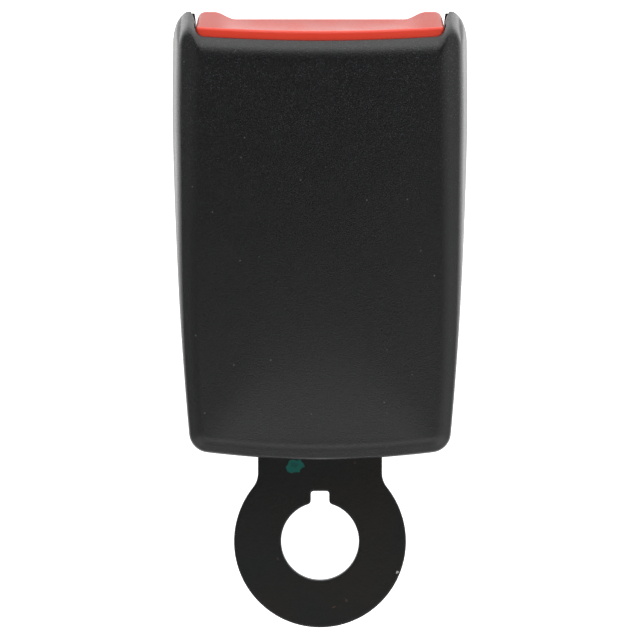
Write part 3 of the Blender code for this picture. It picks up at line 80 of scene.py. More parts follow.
# Housing section
GAP = 0.0003
FRONT_TOP = FRONT_HIGH.z
FRONT_DEPTH = FRONT_TOP - FRONT_LOW.z
BACK_DEPTH = FRONT_LOW.z - GAP
SEAM = 0.00006                  # half the width of the joint between the covers
PARTING = FRONT_LOW.z - GAP / 2
CROWN = 0.0014
CREASE_HEIGHT = FRONT_DEPTH - CROWN
SHOULDER_INSET = 0.0012
SHOULDER_HEIGHT = CREASE_HEIGHT - 0.0046
EDGE_INSET = 0.00265
EDGE_HEIGHT = CREASE_HEIGHT - 0.0015
CREASE_INSET = 0.0056
CREASE_ROUNDING = 0.0006
CROWN_MEETING = 0.25            # how softly the crown's two rises meet, and how it fades out
CROWN_FADE = 0.12
FRONT_FALL = 0.0031
LOWER_EDGE_SHARE = 0.65
CROWN_LEAD = 0.30               # share of the length over which the crown rises from the lower end
STEEP_INSET = 0.0017            # how far the side's shoulder moves out, as the wall gets steeper
STEEP_EDGE = 0.00012            # how close to the outline it does so
STEEPER_FROM = 0.037            # where the wall starts to steepen towards the lower end
STEEPER_OVER = 0.058            # and over what length
BACK_EDGE_RADIUS = 0.003
BACK_DRAFT = 0.0006
WALL = 0.0022
FLOOR = 0.002
SEAM_ROUNDING = 0.0002

# Open end
END_SLOPE = tan(radians(56.7))
LIP = TIP - 0.0067
LIP_THICKNESS = 0.0023
LIP_HEIGHT = FRONT_TOP - LIP_THICKNESS
LIP_ROLL = 0.0068
LIP_SHIFT = 0.00022             # how far out the lip's slope lies, so that its edge stays in place
EAR_SLOPE = tan(radians(61.5))
EAR_ROLL = 0.0032
EAR_RISE = 0.0024               # how much further out the ears' slope lies than the lip's
EAR_RISE_START = 0.0234         # where it starts to, from the middle
EAR_RISE_WIDTH = 0.0034
EAR_WRAP_START = 0.0252         # where the ears' slope starts to turn round their outer corners
EAR_WRAP_WIDTH = 0.0031
EAR_WRAP_LENGTH = 0.0042
EAR_WRAP_LIMIT = 0.98
EAR_SILL = 0.0006               # least height of the ears' slope where it meets the outline
EAR_SILL_ROUNDING = 0.1
EAR_INNER_WIDTH = 0.00105       # how far the ears' inner edges draw back towards their tips
EAR_INNER_LENGTH = 0.0033
EAR_INNER_POWER = 1.7
TIP_STEEPNESS = 15.0
TIP_ROUNDING = 0.0008
BACK_TIP_SETBACK = 0.00025
OPENING_HALF_WIDTH = HOUSING_WIDTH / 2 - 0.00487
OPENING_CORNER = 0.0013
COLLAR_START = TIP - 0.0241
RIM = 0.00028
END_SEARCH = 0.004              # how far before the lip the opening's edge may lie

# How finely the shells are made
EAR_STEPS = 48
EAR_LAP = 0.0002
SIDE_STEPS = 190
MIDDLE_ROWS = 20
TAIL_ROWS = 17
TAIL_LENGTH = 0.0052
LEAD_LIMIT = 0.55
TAIL_LIMIT = 0.38
LINE_PULL = 0.42
CORNER_PULL = 0.0032
CORNER_PULL_RISE = 0.5
LINE_SAMPLES = 90
ARC_STEPS = 16
SIDE_POINTS, CORNER_POINTS, FOOT_POINTS = 160, 40, 60
OPENING_CORNER_POINTS, OPENING_POINTS = 24, 80
SEARCH_STEPS = 40
TAIL_CLOSENESS = 1.6            # how much closer the rows get towards the opening's edge
HOLLOW_STEPS = 60
FLOOR_STEPS = 6
SMOOTH_ANGLE = 40.0             # least angle between faces that still shows as an edge
SAME_PLACE = 1e-7               # points closer than this are one
MERGE_DISTANCE = 2e-7
FLAT_FACE = 1e-8


# Shape helpers

def smooth_min(first, second, reach, power=2):
    """The lesser of two values, with a rounded change that starts more gently at a higher power."""
    near = max(reach - abs(first - second), 0.0) / reach
    return min(first, second) - near ** power * reach / (2 * power)


def smooth_positive(value, reach):
    """A value where it is above 0 and else 0, with a rounded change between them."""
    if value > reach:
        return value
    if value < -reach:
        return 0.0
    return (value + reach) ** 2 / (4 * reach)


def clamp(value, low=0.0, high=1.0):
    return min(max(value, low), high)


def smooth_step(value):
    """A rise from 0 to 1 that starts and ends level."""
    value = clamp(value)
    return value * value * (3 - 2 * value)


def round_off(past, radius=1.0):
    """How far a round edge has fallen, at a distance past its start."""
    return radius - sqrt(max(radius ** 2 - max(past, 0.0) ** 2, 0.0))


def spread(low, high, steps):
    """Evenly spaced numbers, with both ends."""
    return [low + (high - low) * step / steps for step in range(steps + 1)]


def bezier(points, share):
    """A point on the curve that a few control points give."""
    points = [Vector(point) for point in points]
    while len(points) > 1:
        points = [one.lerp(two, share) for one, two in zip(points, points[1:])]
    return points[0]


def arc(centre, radius, start, end, steps=ARC_STEPS):
    """Points along a round arc, with its angles in degrees."""
    points = []
    for angle in spread(radians(start), radians(end), steps):
        points.append((centre[0] + radius * cos(angle), centre[1] + radius * sin(angle)))
    return points


# Meshes

def link_mesh(name, form, smooth_angle=SMOOTH_ANGLE):
    """Turn a bmesh into a piece, with its faces pointing out and shaded smooth up to an angle."""
    bmesh.ops.remove_doubles(form, verts=form.verts, dist=MERGE_DISTANCE)
    bmesh.ops.dissolve_degenerate(form, edges=form.edges, dist=FLAT_FACE)
    bmesh.ops.recalc_face_normals(form, faces=form.faces)
    if form.calc_volume(signed=True) < 0:
        bmesh.ops.reverse_faces(form, faces=form.faces)
    mesh = bpy.data.meshes.new(name)
    form.to_mesh(mesh)
    form.free()
    piece = bpy.data.objects.new(name, mesh)
    bpy.context.scene.collection.objects.link(piece)
    shade(piece, smooth_angle)
    return piece


def shade(piece, smooth_angle=SMOOTH_ANGLE):
    piece.data.shade_smooth()
    piece.data.set_sharp_from_angle(angle=radians(smooth_angle))


def add_face(form, points):
    """A face through points, without those that repeat."""
    kept = []
    for point in points:
        if not kept or (Vector(point) - kept[-1]).length > SAME_PLACE:
            kept.append(Vector(point))
    if len(kept) > 1 and (kept[0] - kept[-1]).length <= SAME_PLACE:
        kept.pop()
    if len(kept) > 2:
        form.faces.new([form.verts.new(point) for point in kept])


def add_grid(form, lines):
    """Faces between lines that all have the same number of points."""
    rows = [[form.verts.new(point) for point in line] for line in lines]
    for one, two in zip(rows, rows[1:]):
        for index in range(len(one) - 1):
            form.faces.new((one[index], one[index + 1], two[index + 1], two[index]))


def mirror_x(form):
    """Add the mirrored half of a mesh that ends on the plane x = 0."""
    geometry = form.verts[:] + form.edges[:] + form.faces[:]
    copied = bmesh.ops.duplicate(form, geom=geometry)["geom"]
    turned = [item for item in copied if isinstance(item, bmesh.types.BMVert)]
    for vertex in turned:
        vertex.co.x = -vertex.co.x
    faces = [item for item in copied if isinstance(item, bmesh.types.BMFace)]
    bmesh.ops.reverse_faces(form, faces=faces)


def loft(name, rings, smooth_angle=SMOOTH_ANGLE):
    """A solid through rings that all have the same number of points."""
    form = bmesh.new()
    add_grid(form, [ring + ring[:1] for ring in rings])
    add_face(form, rings[0])
    add_face(form, rings[-1])
    return link_mesh(name, form, smooth_angle)


def block(name, low, high):
    """A cutter or rib between two corners."""
    corners = ((low[0], low[1]), (high[0], low[1]), (high[0], high[1]), (low[0], high[1]))
    return loft(name, [[(x, y, z) for x, y in corners] for z in (low[2], high[2])])


AXES = {"X": (1, 2, 0), "Y": (0, 2, 1), "Z": (0, 1, 2)}


def place_on(axis, first, second, along):
    """A point from its two places across an axis and the one along it."""
    point = [0.0, 0.0, 0.0]
    point[AXES[axis][0]] = first
    point[AXES[axis][1]] = second
    point[AXES[axis][2]] = along
    return point


def middle_of(low, high, axis="Z"):
    """The middle of a box, seen along an axis."""
    first, second, _ = AXES[axis]
    return (low[first] + high[first]) / 2, (low[second] + high[second]) / 2


def prism(name, axis, outline, low, high):
    """A flat outline drawn out along one axis."""
    return loft(name, [[place_on(axis, first, second, level) for first, second in outline]
                       for level in (low, high)])


def turned(name, axis, centre, profile, sides=48, smooth_angle=SMOOTH_ANGLE):
    """A round solid from (radius, place along the axis) pairs."""
    rings = []
    for radius, level in profile:
        outline = arc(centre, radius, 0, 360, sides)[:-1]
        rings.append([place_on(axis, first, second, level) for first, second in outline])
    return loft(name, rings, smooth_angle=smooth_angle)


def combine(piece, operation, *tools):
    """Join tools to a piece or cut them from it, and remove the tools."""
    for tool in tools:
        modifier = piece.modifiers.new(tool.name, "BOOLEAN")
        modifier.operation = operation
        modifier.solver = "EXACT"
        modifier.object = tool
    bpy.context.view_layer.update()
    depsgraph = bpy.context.evaluated_depsgraph_get()
    shaped = bpy.data.meshes.new_from_object(piece.evaluated_get(depsgraph))
    before = piece.data
    piece.modifiers.clear()
    piece.data = shaped
    shaped.name = piece.name
    bpy.data.meshes.remove(before)
    for tool in tools:
        bpy.data.objects.remove(tool, do_unlink=True)
    shade(piece)
    return piece


# Housing outline, as in the solids

def half_width(y):
    if y < WIDEST:
        share = (WIDEST - y) / (WIDEST - HOUSING_START)
        return HOUSING_WIDTH / 2 - SIDE_TAPER * share ** TAPER_POWER
    return HOUSING_WIDTH / 2 - TIP_TAPER * ((y - WIDEST) / (TIP - WIDEST)) ** 2


EAR_CORNER_MIDDLE = half_width(EAR_CORNER_START) - EAR_CORNER_WIDTH


def outline_half(y):
    """Half the outline's width, with the round outer corners of the ears."""
    if y <= EAR_CORNER_START:
        return half_width(y)
    past = round_off((y - EAR_CORNER_START) / EAR_CORNER_LENGTH)
    return EAR_CORNER_MIDDLE + EAR_CORNER_WIDTH * (1 - past)


def outline_end(x):
    """Where the outline ends towards the ears' tips, at a place across it."""
    return TIP - EAR_CORNER_LENGTH * round_off((abs(x) - EAR_CORNER_MIDDLE) / EAR_CORNER_WIDTH)


def inward_way(point, way):
    """The way straight in from a place on the outline. On the ears' round corners it differs."""
    if point.y <= EAR_CORNER_START:
        return way
    across = max(point.x - EAR_CORNER_MIDDLE, 0.0) / EAR_CORNER_WIDTH ** 2
    along = (point.y - EAR_CORNER_START) / EAR_CORNER_LENGTH ** 2
    return -Vector((across, along)).normalized()


def ear_flare(shell, y):
    """How far a shell's opening widens towards the ears' tips."""
    return shell.flare * clamp((y - TIP + EAR_INNER_LENGTH) / EAR_INNER_LENGTH) ** EAR_INNER_POWER


LOWER_REACH = HOUSING_WIDTH / 2 - SIDE_TAPER - LOWER_CORNER


def lower_edge(x):
    return HOUSING_START + LOWER_SAG * (x / LOWER_REACH) ** 2


def lower_angle(x):
    return atan(2 * LOWER_SAG * x / LOWER_REACH ** 2)


def side_angle(y):
    step = 0.0005
    return atan((half_width(y + step) - half_width(y - step)) / (2 * step))


def find_lower_corner():
    """Centre of the arc that rounds a lower corner, and the angles at its ends."""
    x = HOUSING_WIDTH / 2 - LOWER_CORNER
    y = HOUSING_START + LOWER_CORNER
    for _ in range(SEARCH_STEPS):
        side = side_angle(y)
        foot = lower_angle(x)
        x = half_width(y - LOWER_CORNER * sin(side)) - LOWER_CORNER * cos(side)
        y = lower_edge(x + LOWER_CORNER * sin(foot)) + LOWER_CORNER * cos(foot)
    return x, y, -pi / 2 + foot, -side


CORNER_X, CORNER_Y, CORNER_FOOT, CORNER_SIDE = find_lower_corner()


def inset_at(x, y):
    """How far a place lies inside the outline."""
    x = abs(x)
    across, along = x - CORNER_X, y - CORNER_Y
    if across > 0 and CORNER_FOOT <= atan2(along, across) <= CORNER_SIDE:
        return LOWER_CORNER - hypot(across, along)
    side = outline_half(y) - x
    foot = (y - lower_edge(x)) * cos(lower_angle(x))
    if across > 0 and along < 0:
        return side if atan2(along, across) > CORNER_SIDE else foot
    return min(side, foot)


def edge_share(y):
    along = clamp((y - HOUSING_START) / HOUSING_LENGTH)
    return LOWER_EDGE_SHARE + (1 - LOWER_EDGE_SHARE) * along


def height_share(y):
    fall = FRONT_FALL * (max(WIDEST - y, 0.0) / (WIDEST - HOUSING_START)) ** 2
    return 1 - fall / FRONT_DEPTH


# Outer surfaces. Heights are counted outwards from the joint between the covers.

SIDE_STEEPNESS = SHOULDER_HEIGHT / SHOULDER_INSET
BEVEL_SLOPE = (CREASE_HEIGHT - EDGE_HEIGHT) / (CREASE_INSET - EDGE_INSET)
SHOULDER_MEETING = (EDGE_HEIGHT - BEVEL_SLOPE * EDGE_INSET) / (SIDE_STEEPNESS - BEVEL_SLOPE)


def front_profile(inset):
    """The front cover's height over an inset: a steep side, a round edge and the bevel."""
    if inset < SHOULDER_INSET:
        return SIDE_STEEPNESS * inset
    if inset < EDGE_INSET:
        a = SHOULDER_INSET - 2 * SHOULDER_MEETING + EDGE_INSET
        b = SHOULDER_MEETING - SHOULDER_INSET
        share = (sqrt(b * b + a * (inset - SHOULDER_INSET)) - b) / a
        middle = SIDE_STEEPNESS * SHOULDER_MEETING
        low = SHOULDER_HEIGHT * (1 - share) + middle * share
        high = middle * (1 - share) + EDGE_HEIGHT * share
        return low * (1 - share) + high * share
    bevel = EDGE_HEIGHT + BEVEL_SLOPE * (inset - EDGE_INSET)
    return smooth_min(bevel, CREASE_HEIGHT, CREASE_ROUNDING)


def crown_at(x, y):
    """How far the face stands above its creases."""
    crease = half_width(y) - CREASE_INSET * edge_share(y)
    across = 1 - (abs(x) / crease) ** 2
    start = HOUSING_START + CREASE_INSET * LOWER_EDGE_SHARE
    along = (y - start) / (HOUSING_LENGTH * CROWN_LEAD)
    rise = 1 - max(1 - along, 0.0) ** 2
    return CROWN * smooth_positive(smooth_min(across, rise, CROWN_MEETING), CROWN_FADE)


def front_height(x, y):
    """The front cover's height at a place, with its open end sloped and its lip rolled."""
    inset = inset_at(x, y)
    lower = smooth_step((STEEPER_FROM - y) / STEEPER_OVER)
    steep = STEEP_INSET * lower * (1 - exp(-max(inset, 0.0) / STEEP_EDGE))
    loaf = height_share(y) * (front_profile(inset / edge_share(y) + steep) + crown_at(x, y))
    on_ear = smooth_step((abs(x) - EAR_RISE_START) / EAR_RISE_WIDTH)
    steepness = END_SLOPE + (EAR_SLOPE - END_SLOPE) * on_ear
    across = min((abs(x) - EAR_WRAP_START) / EAR_WRAP_WIDTH, EAR_WRAP_LIMIT)
    wrap = EAR_WRAP_LENGTH * round_off(across)
    start = LIP + LIP_SHIFT + (EAR_RISE - LIP_SHIFT) * on_ear - wrap
    level = LIP_HEIGHT - PARTING - SEAM
    steepest = (level - EAR_SILL) / max(outline_end(x) - start, 0.001)
    steepness = smooth_min(steepness, steepest, EAR_SILL_ROUNDING)
    slope = level - steepness * (y - start)
    rolled = smooth_min(loaf, slope, LIP_ROLL + (EAR_ROLL - LIP_ROLL) * on_ear, 3)
    return max(smooth_min(rolled, TIP_STEEPNESS * (TIP - y), TIP_ROUNDING), 0.0)


def back_profile(inset):
    """The back cover's height over an inset: a drafted side, a round edge and the flat back."""
    side = BACK_DEPTH - BACK_EDGE_RADIUS
    if inset < BACK_DRAFT:
        return side * inset / BACK_DRAFT
    across = BACK_EDGE_RADIUS - BACK_DRAFT
    cosine = max(1 - (inset - BACK_DRAFT) / across, 0.0)
    return side + BACK_EDGE_RADIUS * sqrt(1 - cosine * cosine)


def back_height(x, y):
    """The back cover's height at a place, counted towards the back."""
    loaf = back_profile(inset_at(x, y))
    slope = BACK_DEPTH - FLOOR - END_SLOPE * (y - LIP)
    end = TIP - BACK_TIP_SETBACK
    sloped = smooth_min(loaf, slope, BACK_DRAFT)
    scale = (PARTING - SEAM) / BACK_DEPTH
    return max(smooth_min(sloped, TIP_STEEPNESS * (end - y), TIP_ROUNDING), 0.0) * scale


# A shell is one cover without its bosses: where its joint lies, which way it faces, where its ears
# end, its outer height, its opening's depth, bow and flare, its hollow's section, the insets of its
# outer rows, and whether these shrink towards the lower end
Shell = namedtuple("Shell", "name base facing tip height depth bow flare inner rows scaled")

INNER_EDGE = 0.96 * LOWER_CORNER
HOLLOW_SHOULDER = 0.0023        # how far the hollow's round edge reaches down its wall
HOLLOW_EDGE = 0.00075


def inner_front(y):
    """Insets and heights of the front cover's hollow."""
    depth = CREASE_HEIGHT - WALL
    share = height_share(y)
    return [
        (WALL, 0.0),
        (WALL + 0.3 * SHOULDER_INSET, share * (depth - HOLLOW_SHOULDER)),
        (WALL + SHOULDER_INSET, share * (depth - HOLLOW_EDGE)),
        (INNER_EDGE, share * depth),
    ]


def inner_back(_y):
    """Insets and depths of the back cover's hollow."""
    return [
        (WALL, 0.0),
        (WALL + BACK_DRAFT, PARTING - FLOOR - BACK_EDGE_RADIUS / 2),
        (BACK_EDGE_RADIUS + BACK_DRAFT, PARTING - FLOOR),
    ]


FRONT_ROWS = (
    spread(SHOULDER_INSET / 8, SHOULDER_INSET, steps=7)
    + spread(SHOULDER_INSET, EDGE_INSET, steps=9)[1:]
    + spread(EDGE_INSET, CREASE_INSET + 2 * CREASE_ROUNDING, steps=10)[1:]
)
BACK_ROWS = spread(BACK_DRAFT / 6, BACK_DRAFT, steps=3) + [
    BACK_DRAFT + (BACK_EDGE_RADIUS - BACK_DRAFT) * (1 - cos(angle))
    for angle in spread(0.0, pi / 2, steps=14)[1:]
]

FRONT = Shell(
    "front_shell", PARTING + SEAM, 1, TIP, front_height,
    LIP_HEIGHT - PARTING - SEAM, CROWN, EAR_INNER_WIDTH, inner_front, FRONT_ROWS, True,
)
BACK = Shell(
    "back_shell", PARTING - SEAM, -1, TIP - BACK_TIP_SETBACK, back_height,
    PARTING - SEAM - FLOOR, 0.0, 0.3 * EAR_INNER_WIDTH, inner_back, BACK_ROWS, False,
)


def outer_points(start):
    """The measured outline from a place on the side to the middle of the lower edge."""
    fine = []
    for y in spread(start, CORNER_Y + LOWER_CORNER * sin(CORNER_SIDE), SIDE_POINTS):
        angle = side_angle(y)
        fine.append((Vector((half_width(y), y)), Vector((-cos(angle), sin(angle)))))
    for angle in spread(CORNER_SIDE, CORNER_FOOT, CORNER_POINTS)[1:]:
        way = Vector((cos(angle), sin(angle)))
        fine.append((Vector((CORNER_X, CORNER_Y)) + LOWER_CORNER * way, -way))
    for x in spread(fine[-1][0].x, 0.0, FOOT_POINTS)[1:]:
        angle = lower_angle(x)
        fine.append((Vector((x, lower_edge(x))), Vector((-sin(angle), cos(angle)))))
    return measured(fine)


def look_up(value, keys, found):
    """What belongs to a value that lies between rising keys."""
    for index in range(1, len(keys)):
        if keys[index] >= value or index == len(keys) - 1:
            step = keys[index] - keys[index - 1]
            share = clamp((value - keys[index - 1]) / step) if step > 0 else 0.0
            return found[index - 1] + (found[index] - found[index - 1]) * share
    return found[0]


def lengths_along(points):
    """The length of a line up to each of its points."""
    total = [0.0]
    for one, two in zip(points, points[1:]):
        total.append(total[-1] + (two - one).length)
    return total


def measured(places):
    """Points and their ways as two lists, with the length up to each."""
    points, ways = zip(*places)
    return points, ways, lengths_along(points)


def place_along(line, share):
    """The point and way at a share of a measured line's length."""
    points, ways, lengths = line
    reach = lengths[-1] * share
    return look_up(reach, lengths, points), look_up(reach, lengths, ways).normalized()


def opening_edge(shell, x, level):
    """Where along the buckle a shell's outer surface comes down to one height at the open end."""
    low, high = LIP - END_SEARCH, shell.tip
    for _ in range(SEARCH_STEPS):
        middle = (low + high) / 2
        if shell.height(x, middle) > level:
            low = middle
        else:
            high = middle
    return (low + high) / 2


def opening_points(shell):
    """The opening's measured edge, from its upper corner to the middle."""
    side = OPENING_HALF_WIDTH - OPENING_CORNER
    corner_level = shell.depth - shell.bow - OPENING_CORNER
    spots = []
    for angle in spread(0.0, pi / 2, OPENING_CORNER_POINTS):
        across, along = cos(angle), sin(angle)
        level = corner_level + OPENING_CORNER * along
        spots.append((side + OPENING_CORNER * across, level, Vector((across, -along, 0.0))))
    for x in spread(side, 0.0, OPENING_POINTS)[1:]:
        level = shell.depth - shell.bow * (x / side) ** 2
        spots.append((x, level, Vector((0.0, -1.0, 0.0))))
    return measured([(Vector((x, opening_edge(shell, x, level), level)), way)
                     for x, level, way in spots])


def station_ends(shell):
    """The outer and inner ends of a shell's grid lines, from the ear's tip to the middle."""
    side = OPENING_HALF_WIDTH
    corner_y = opening_edge(shell, side, shell.depth - shell.bow - OPENING_CORNER)
    ends = []
    across = Vector((-1.0, 0.0))
    outer_end = min(corner_y, EAR_CORNER_START - EAR_LAP)
    for passed in spread(0.0, 1.0, EAR_STEPS):
        share = 1 - passed ** 2 * (1 + passed) / 2
        y = corner_y + (shell.tip - corner_y) * share
        outer_y = outer_end + (shell.tip - outer_end) * share
        edge = Vector((side + ear_flare(shell, y), y))
        point = Vector((outline_half(outer_y), outer_y))
        ends.append((point, across, edge, -across, shell.height(edge.x, y)))
    outer = outer_points(outer_end)
    inner = opening_points(shell)
    for share in spread(0.0, 1.0, SIDE_STEPS)[1:]:
        point, way = place_along(outer, share)
        edge, edge_way = place_along(inner, share)
        ends.append((point, way, edge.xy, edge_way.xy, edge.z))
    return ends


def lead_places(shell, samples, lengths):
    """Distances along a grid line at which its outer rows lie, each at one inset from the edge."""
    insets = [inset_at(*spot) / (edge_share(spot.y) if shell.scaled else 1.0) for spot in samples]
    reach = look_up(LEAD_LIMIT * lengths[-1], lengths, insets)
    share = min(1.0, reach / shell.rows[-1])
    return [look_up(inset * share, insets, lengths) for inset in shell.rows]


def row_places(length, lead, tail):
    """Distances along a grid line: close near both ends, and even between."""
    share = min(1.0, TAIL_LIMIT * length / tail[0])
    last = [length - place * share for place in tail]
    return lead + spread(lead[-1], last[0], MIDDLE_ROWS + 1)[1:-1] + last


def grid_line(shell, station):
    """One line of a shell's outer surface, from its joint to the inside of its open end."""
    point, way, edge, edge_way, level = station
    length = (edge - point).length
    pull = LINE_PULL * length
    outer_pull = min(pull, CORNER_PULL + CORNER_PULL_RISE * max(point.y - CORNER_Y, 0.0))
    controls = [point, point + way * outer_pull, edge + edge_way * pull, edge]
    samples = [bezier(controls, share) for share in spread(0.0, 1.0, LINE_SAMPLES)]
    lengths = lengths_along(samples)
    lead = lead_places(shell, samples, lengths)
    rim = RIM * min(1.0, (shell.tip - edge.y) / (4 * RIM))
    tail = [TAIL_LENGTH * (1 - share) ** TAIL_CLOSENESS + RIM
            for share in spread(0.0, 1.0, TAIL_ROWS)]
    seam = SEAM_ROUNDING * min(1.0, max(shell.tip - point.y, 0.0) / (4 * SEAM_ROUNDING))
    first = look_up(lead[0], lengths, samples)
    seam_points = [(point + inward_way(point, way) * seam).to_3d(), point.to_3d(), first.to_3d()]
    seam_points[2].z = shell.height(*first)
    line = [bezier(seam_points, share) for share in (0.0, 0.3, 0.65)]
    for place in row_places(lengths[-1], lead, tail):
        spot = look_up(place, lengths, samples)
        line.append(Vector((spot.x, spot.y, shell.height(*spot))))
    wall_x = edge.x - ear_flare(shell, edge.y)
    inner_y = edge.y - rim
    inner = Vector((wall_x + ear_flare(shell, inner_y), inner_y, level))
    rounding = [line[-1], Vector((edge.x, edge.y, level)), inner]
    line += [bezier(rounding, share) for share in (0.25, 0.5, 0.75)] + [inner]
    flare_start = min(inner.y, TIP - EAR_INNER_LENGTH)
    for y in spread(inner.y, flare_start, 5)[1:] + spread(flare_start, COLLAR_START, 3)[1:]:
        line.append(Vector((wall_x + ear_flare(shell, y), y, level)))
    return line


def inner_line(shell, point, way, target):
    """One line of a shell's hollow, from its joint to the middle of its roof."""
    rings = shell.inner(point.y)
    line = [(point + way * inset).to_3d() + Vector((0.0, 0.0, level)) for inset, level in rings]
    start = line[-1]
    for share in spread(0.0, 1.0, FLOOR_STEPS)[1:]:
        spot = start.xy.lerp(target, share)
        roof = rings[-1][1]
        if shell.scaled:
            bow = 1 - (1 - share) ** 2
            roof = height_share(spot.y) * (CREASE_HEIGHT - WALL + CROWN * bow)
        line.append(Vector((spot.x, spot.y, roof)))
    return line


def inner_stations(shell):
    """Lines of a shell's hollow, from the collar to the middle of the lower edge."""
    outer = outer_points(COLLAR_START)
    middle_start = HOUSING_START + HOUSING_LENGTH * CROWN_LEAD
    lines = []
    for share in spread(0.0, 1.0, HOLLOW_STEPS):
        point, way = place_along(outer, share)
        if share == 0.0:
            way = Vector((-1.0, 0.0))
        if share == 1.0:
            way = Vector((0.0, 1.0))
        target = Vector((0.0, max(point.y, middle_start)))
        lines.append(inner_line(shell, point, way, target))
    return lines


def make_shell(shell):
    """One cover as a closed thin-walled shell."""
    lines = [grid_line(shell, station) for station in station_ends(shell)]
    hollow = inner_stations(shell)
    form = bmesh.new()
    add_grid(form, lines)
    add_grid(form, hollow)
    collar_step = [line[-1] for line in lines] + hollow[0][::-1]
    add_face(form, collar_step)
    outer_rim = [line[0] for line in lines[::-1]]
    joint = outer_rim + lines[0][1:] + [line[0] for line in hollow]
    add_face(form, joint)
    for vertex in form.verts:
        vertex.co.z = shell.base + shell.facing * vertex.co.z
        if abs(vertex.co.x) < FLAT_FACE:
            vertex.co.x = 0.0
    mirror_x(form)
    return link_mesh(shell.name, form)


# Press button

BUTTON_HALF_WIDTH = OPENING_HALF_WIDTH - GAP
BUTTON_FRONT = LIP_HEIGHT - GAP
BUTTON_DEPTH = 0.0108
BUTTON_BACK = BUTTON_FRONT - BUTTON_DEPTH
BUTTON_WALL = 0.0018
BUTTON_PROUD = 0.0013
BUTTON_CORNER = 0.0018
BUTTON_EDGE = 0.0008
BUTTON_DISH = 0.0003
BUTTON_END_EDGE = 0.0008
CREST = TIP - 0.0017
CREST_RISE = 0.0015
SCOOP_HALF_WIDTH = 0.0171
SCOOP_RAMP = 0.0044


def button_crest(x):
    """Where the button's crest lies: low in the middle, with round outer ends."""
    crest = CREST + CREST_RISE * smooth_step((abs(x) - SCOOP_HALF_WIDTH) / SCOOP_RAMP)
    return crest - round_off(abs(x) - BUTTON_HALF_WIDTH + BUTTON_CORNER, BUTTON_CORNER)


def button_front(x):
    """Height of the button's front face, a gap below the front cover's lip."""
    flat = OPENING_HALF_WIDTH - OPENING_CORNER
    drop = round_off(abs(x) - flat, OPENING_CORNER - GAP)
    return BUTTON_FRONT - CROWN * min(abs(x) / flat, 1.0) ** 2 - drop


def button_section(x):
    """The button's outline at one place across it, as (y, z) points."""
    front = button_front(x)
    edge = LIP + BUTTON_PROUD + (LIP_HEIGHT - front) / END_SLOPE
    low = Vector((button_crest(x) - BUTTON_EDGE, BUTTON_BACK + BUTTON_EDGE))
    high = Vector((edge - 0.6 * BUTTON_EDGE, front - BUTTON_EDGE))
    rise = high - low
    facing = degrees(atan2(-rise.x, rise.y))
    out = Vector((rise.y, -rise.x)).normalized()
    back_off = round_off(abs(x) - BUTTON_HALF_WIDTH + BUTTON_END_EDGE, BUTTON_END_EDGE)
    low, high = low - out * back_off, high - out * back_off
    front -= back_off
    past_scoop = (abs(x) - SCOOP_HALF_WIDTH + SCOOP_RAMP) / (2 * SCOOP_RAMP)
    dish = BUTTON_DISH * (1 - smooth_step(past_scoop))
    points = [(BUTTON_START, BUTTON_BACK)] + arc(low, BUTTON_EDGE, -90, facing, steps=10)
    for share in spread(0.0, 1.0, steps=12)[1:-1]:
        spot = low + rise * share + out * (BUTTON_EDGE - 4 * dish * share * (1 - share))
        points.append((spot.x, spot.y))
    return points + arc(high, BUTTON_EDGE, facing, 90, steps=9) + [(BUTTON_START, front)]


def make_button():
    """The push button, with its sloped end, scooped crest and hollow inside."""
    places = spread(0.0, BUTTON_HALF_WIDTH - BUTTON_CORNER, steps=56)
    for angle in spread(0.0, pi / 2, steps=14)[1:]:
        places.append(BUTTON_HALF_WIDTH - BUTTON_CORNER * (1 - sin(angle)))
    places = [-place for place in places[:0:-1]] + places
    button = loft("push_button", [[(x, y, z) for y, z in button_section(x)] for x in places])
    back = BUTTON_BACK + BUTTON_WALL
    front = BUTTON_FRONT - CROWN - BUTTON_WALL
    end = LIP - BUTTON_WALL
    over = BUTTON_START - BUTTON_WALL
    deep_end = end + (LIP_HEIGHT - back) / END_SLOPE - BUTTON_WALL
    outline = [(over, back), (deep_end, back), (end, front), (over, front)]
    half = BUTTON_HALF_WIDTH - BUTTON_WALL
    combine(button, "DIFFERENCE", prism("button_hollow", "X", outline, -half, half))
    return button


# Anchor plate

RING_RADIUS = 0.0176
RING_Y = PLATE_LOW.y + RING_RADIUS
BOLT_HOLE_RADIUS = 0.00794
RING_STEPS = 120
KEYWAY_HALF_WIDTH = 0.00373 / 2
KEYWAY_REACH = BOLT_HOLE_RADIUS + 0.00234
KEYWAY_CORNER = 0.0006
KEYWAY_FLARE = 0.0007
NECK_HALF_WIDTH = 0.0254 / 2
NECK_FILLET = 0.005
PLATE_TOP = PLATE_HIGH.z
PLATE_END = PLATE_HIGH.y
PLATE_CORNER = 0.001
PLATE_ROLLED_EDGE = 0.00042
PLATE_CUT_EDGE = 0.00018
FACE_LAP = 1.25                 # where a sheet's flat faces start, in widths of its edges
RIVET_RADIUS = 0.003
RIVET_X = 0.007
RIVET_Y = PLATE_END - 0.008


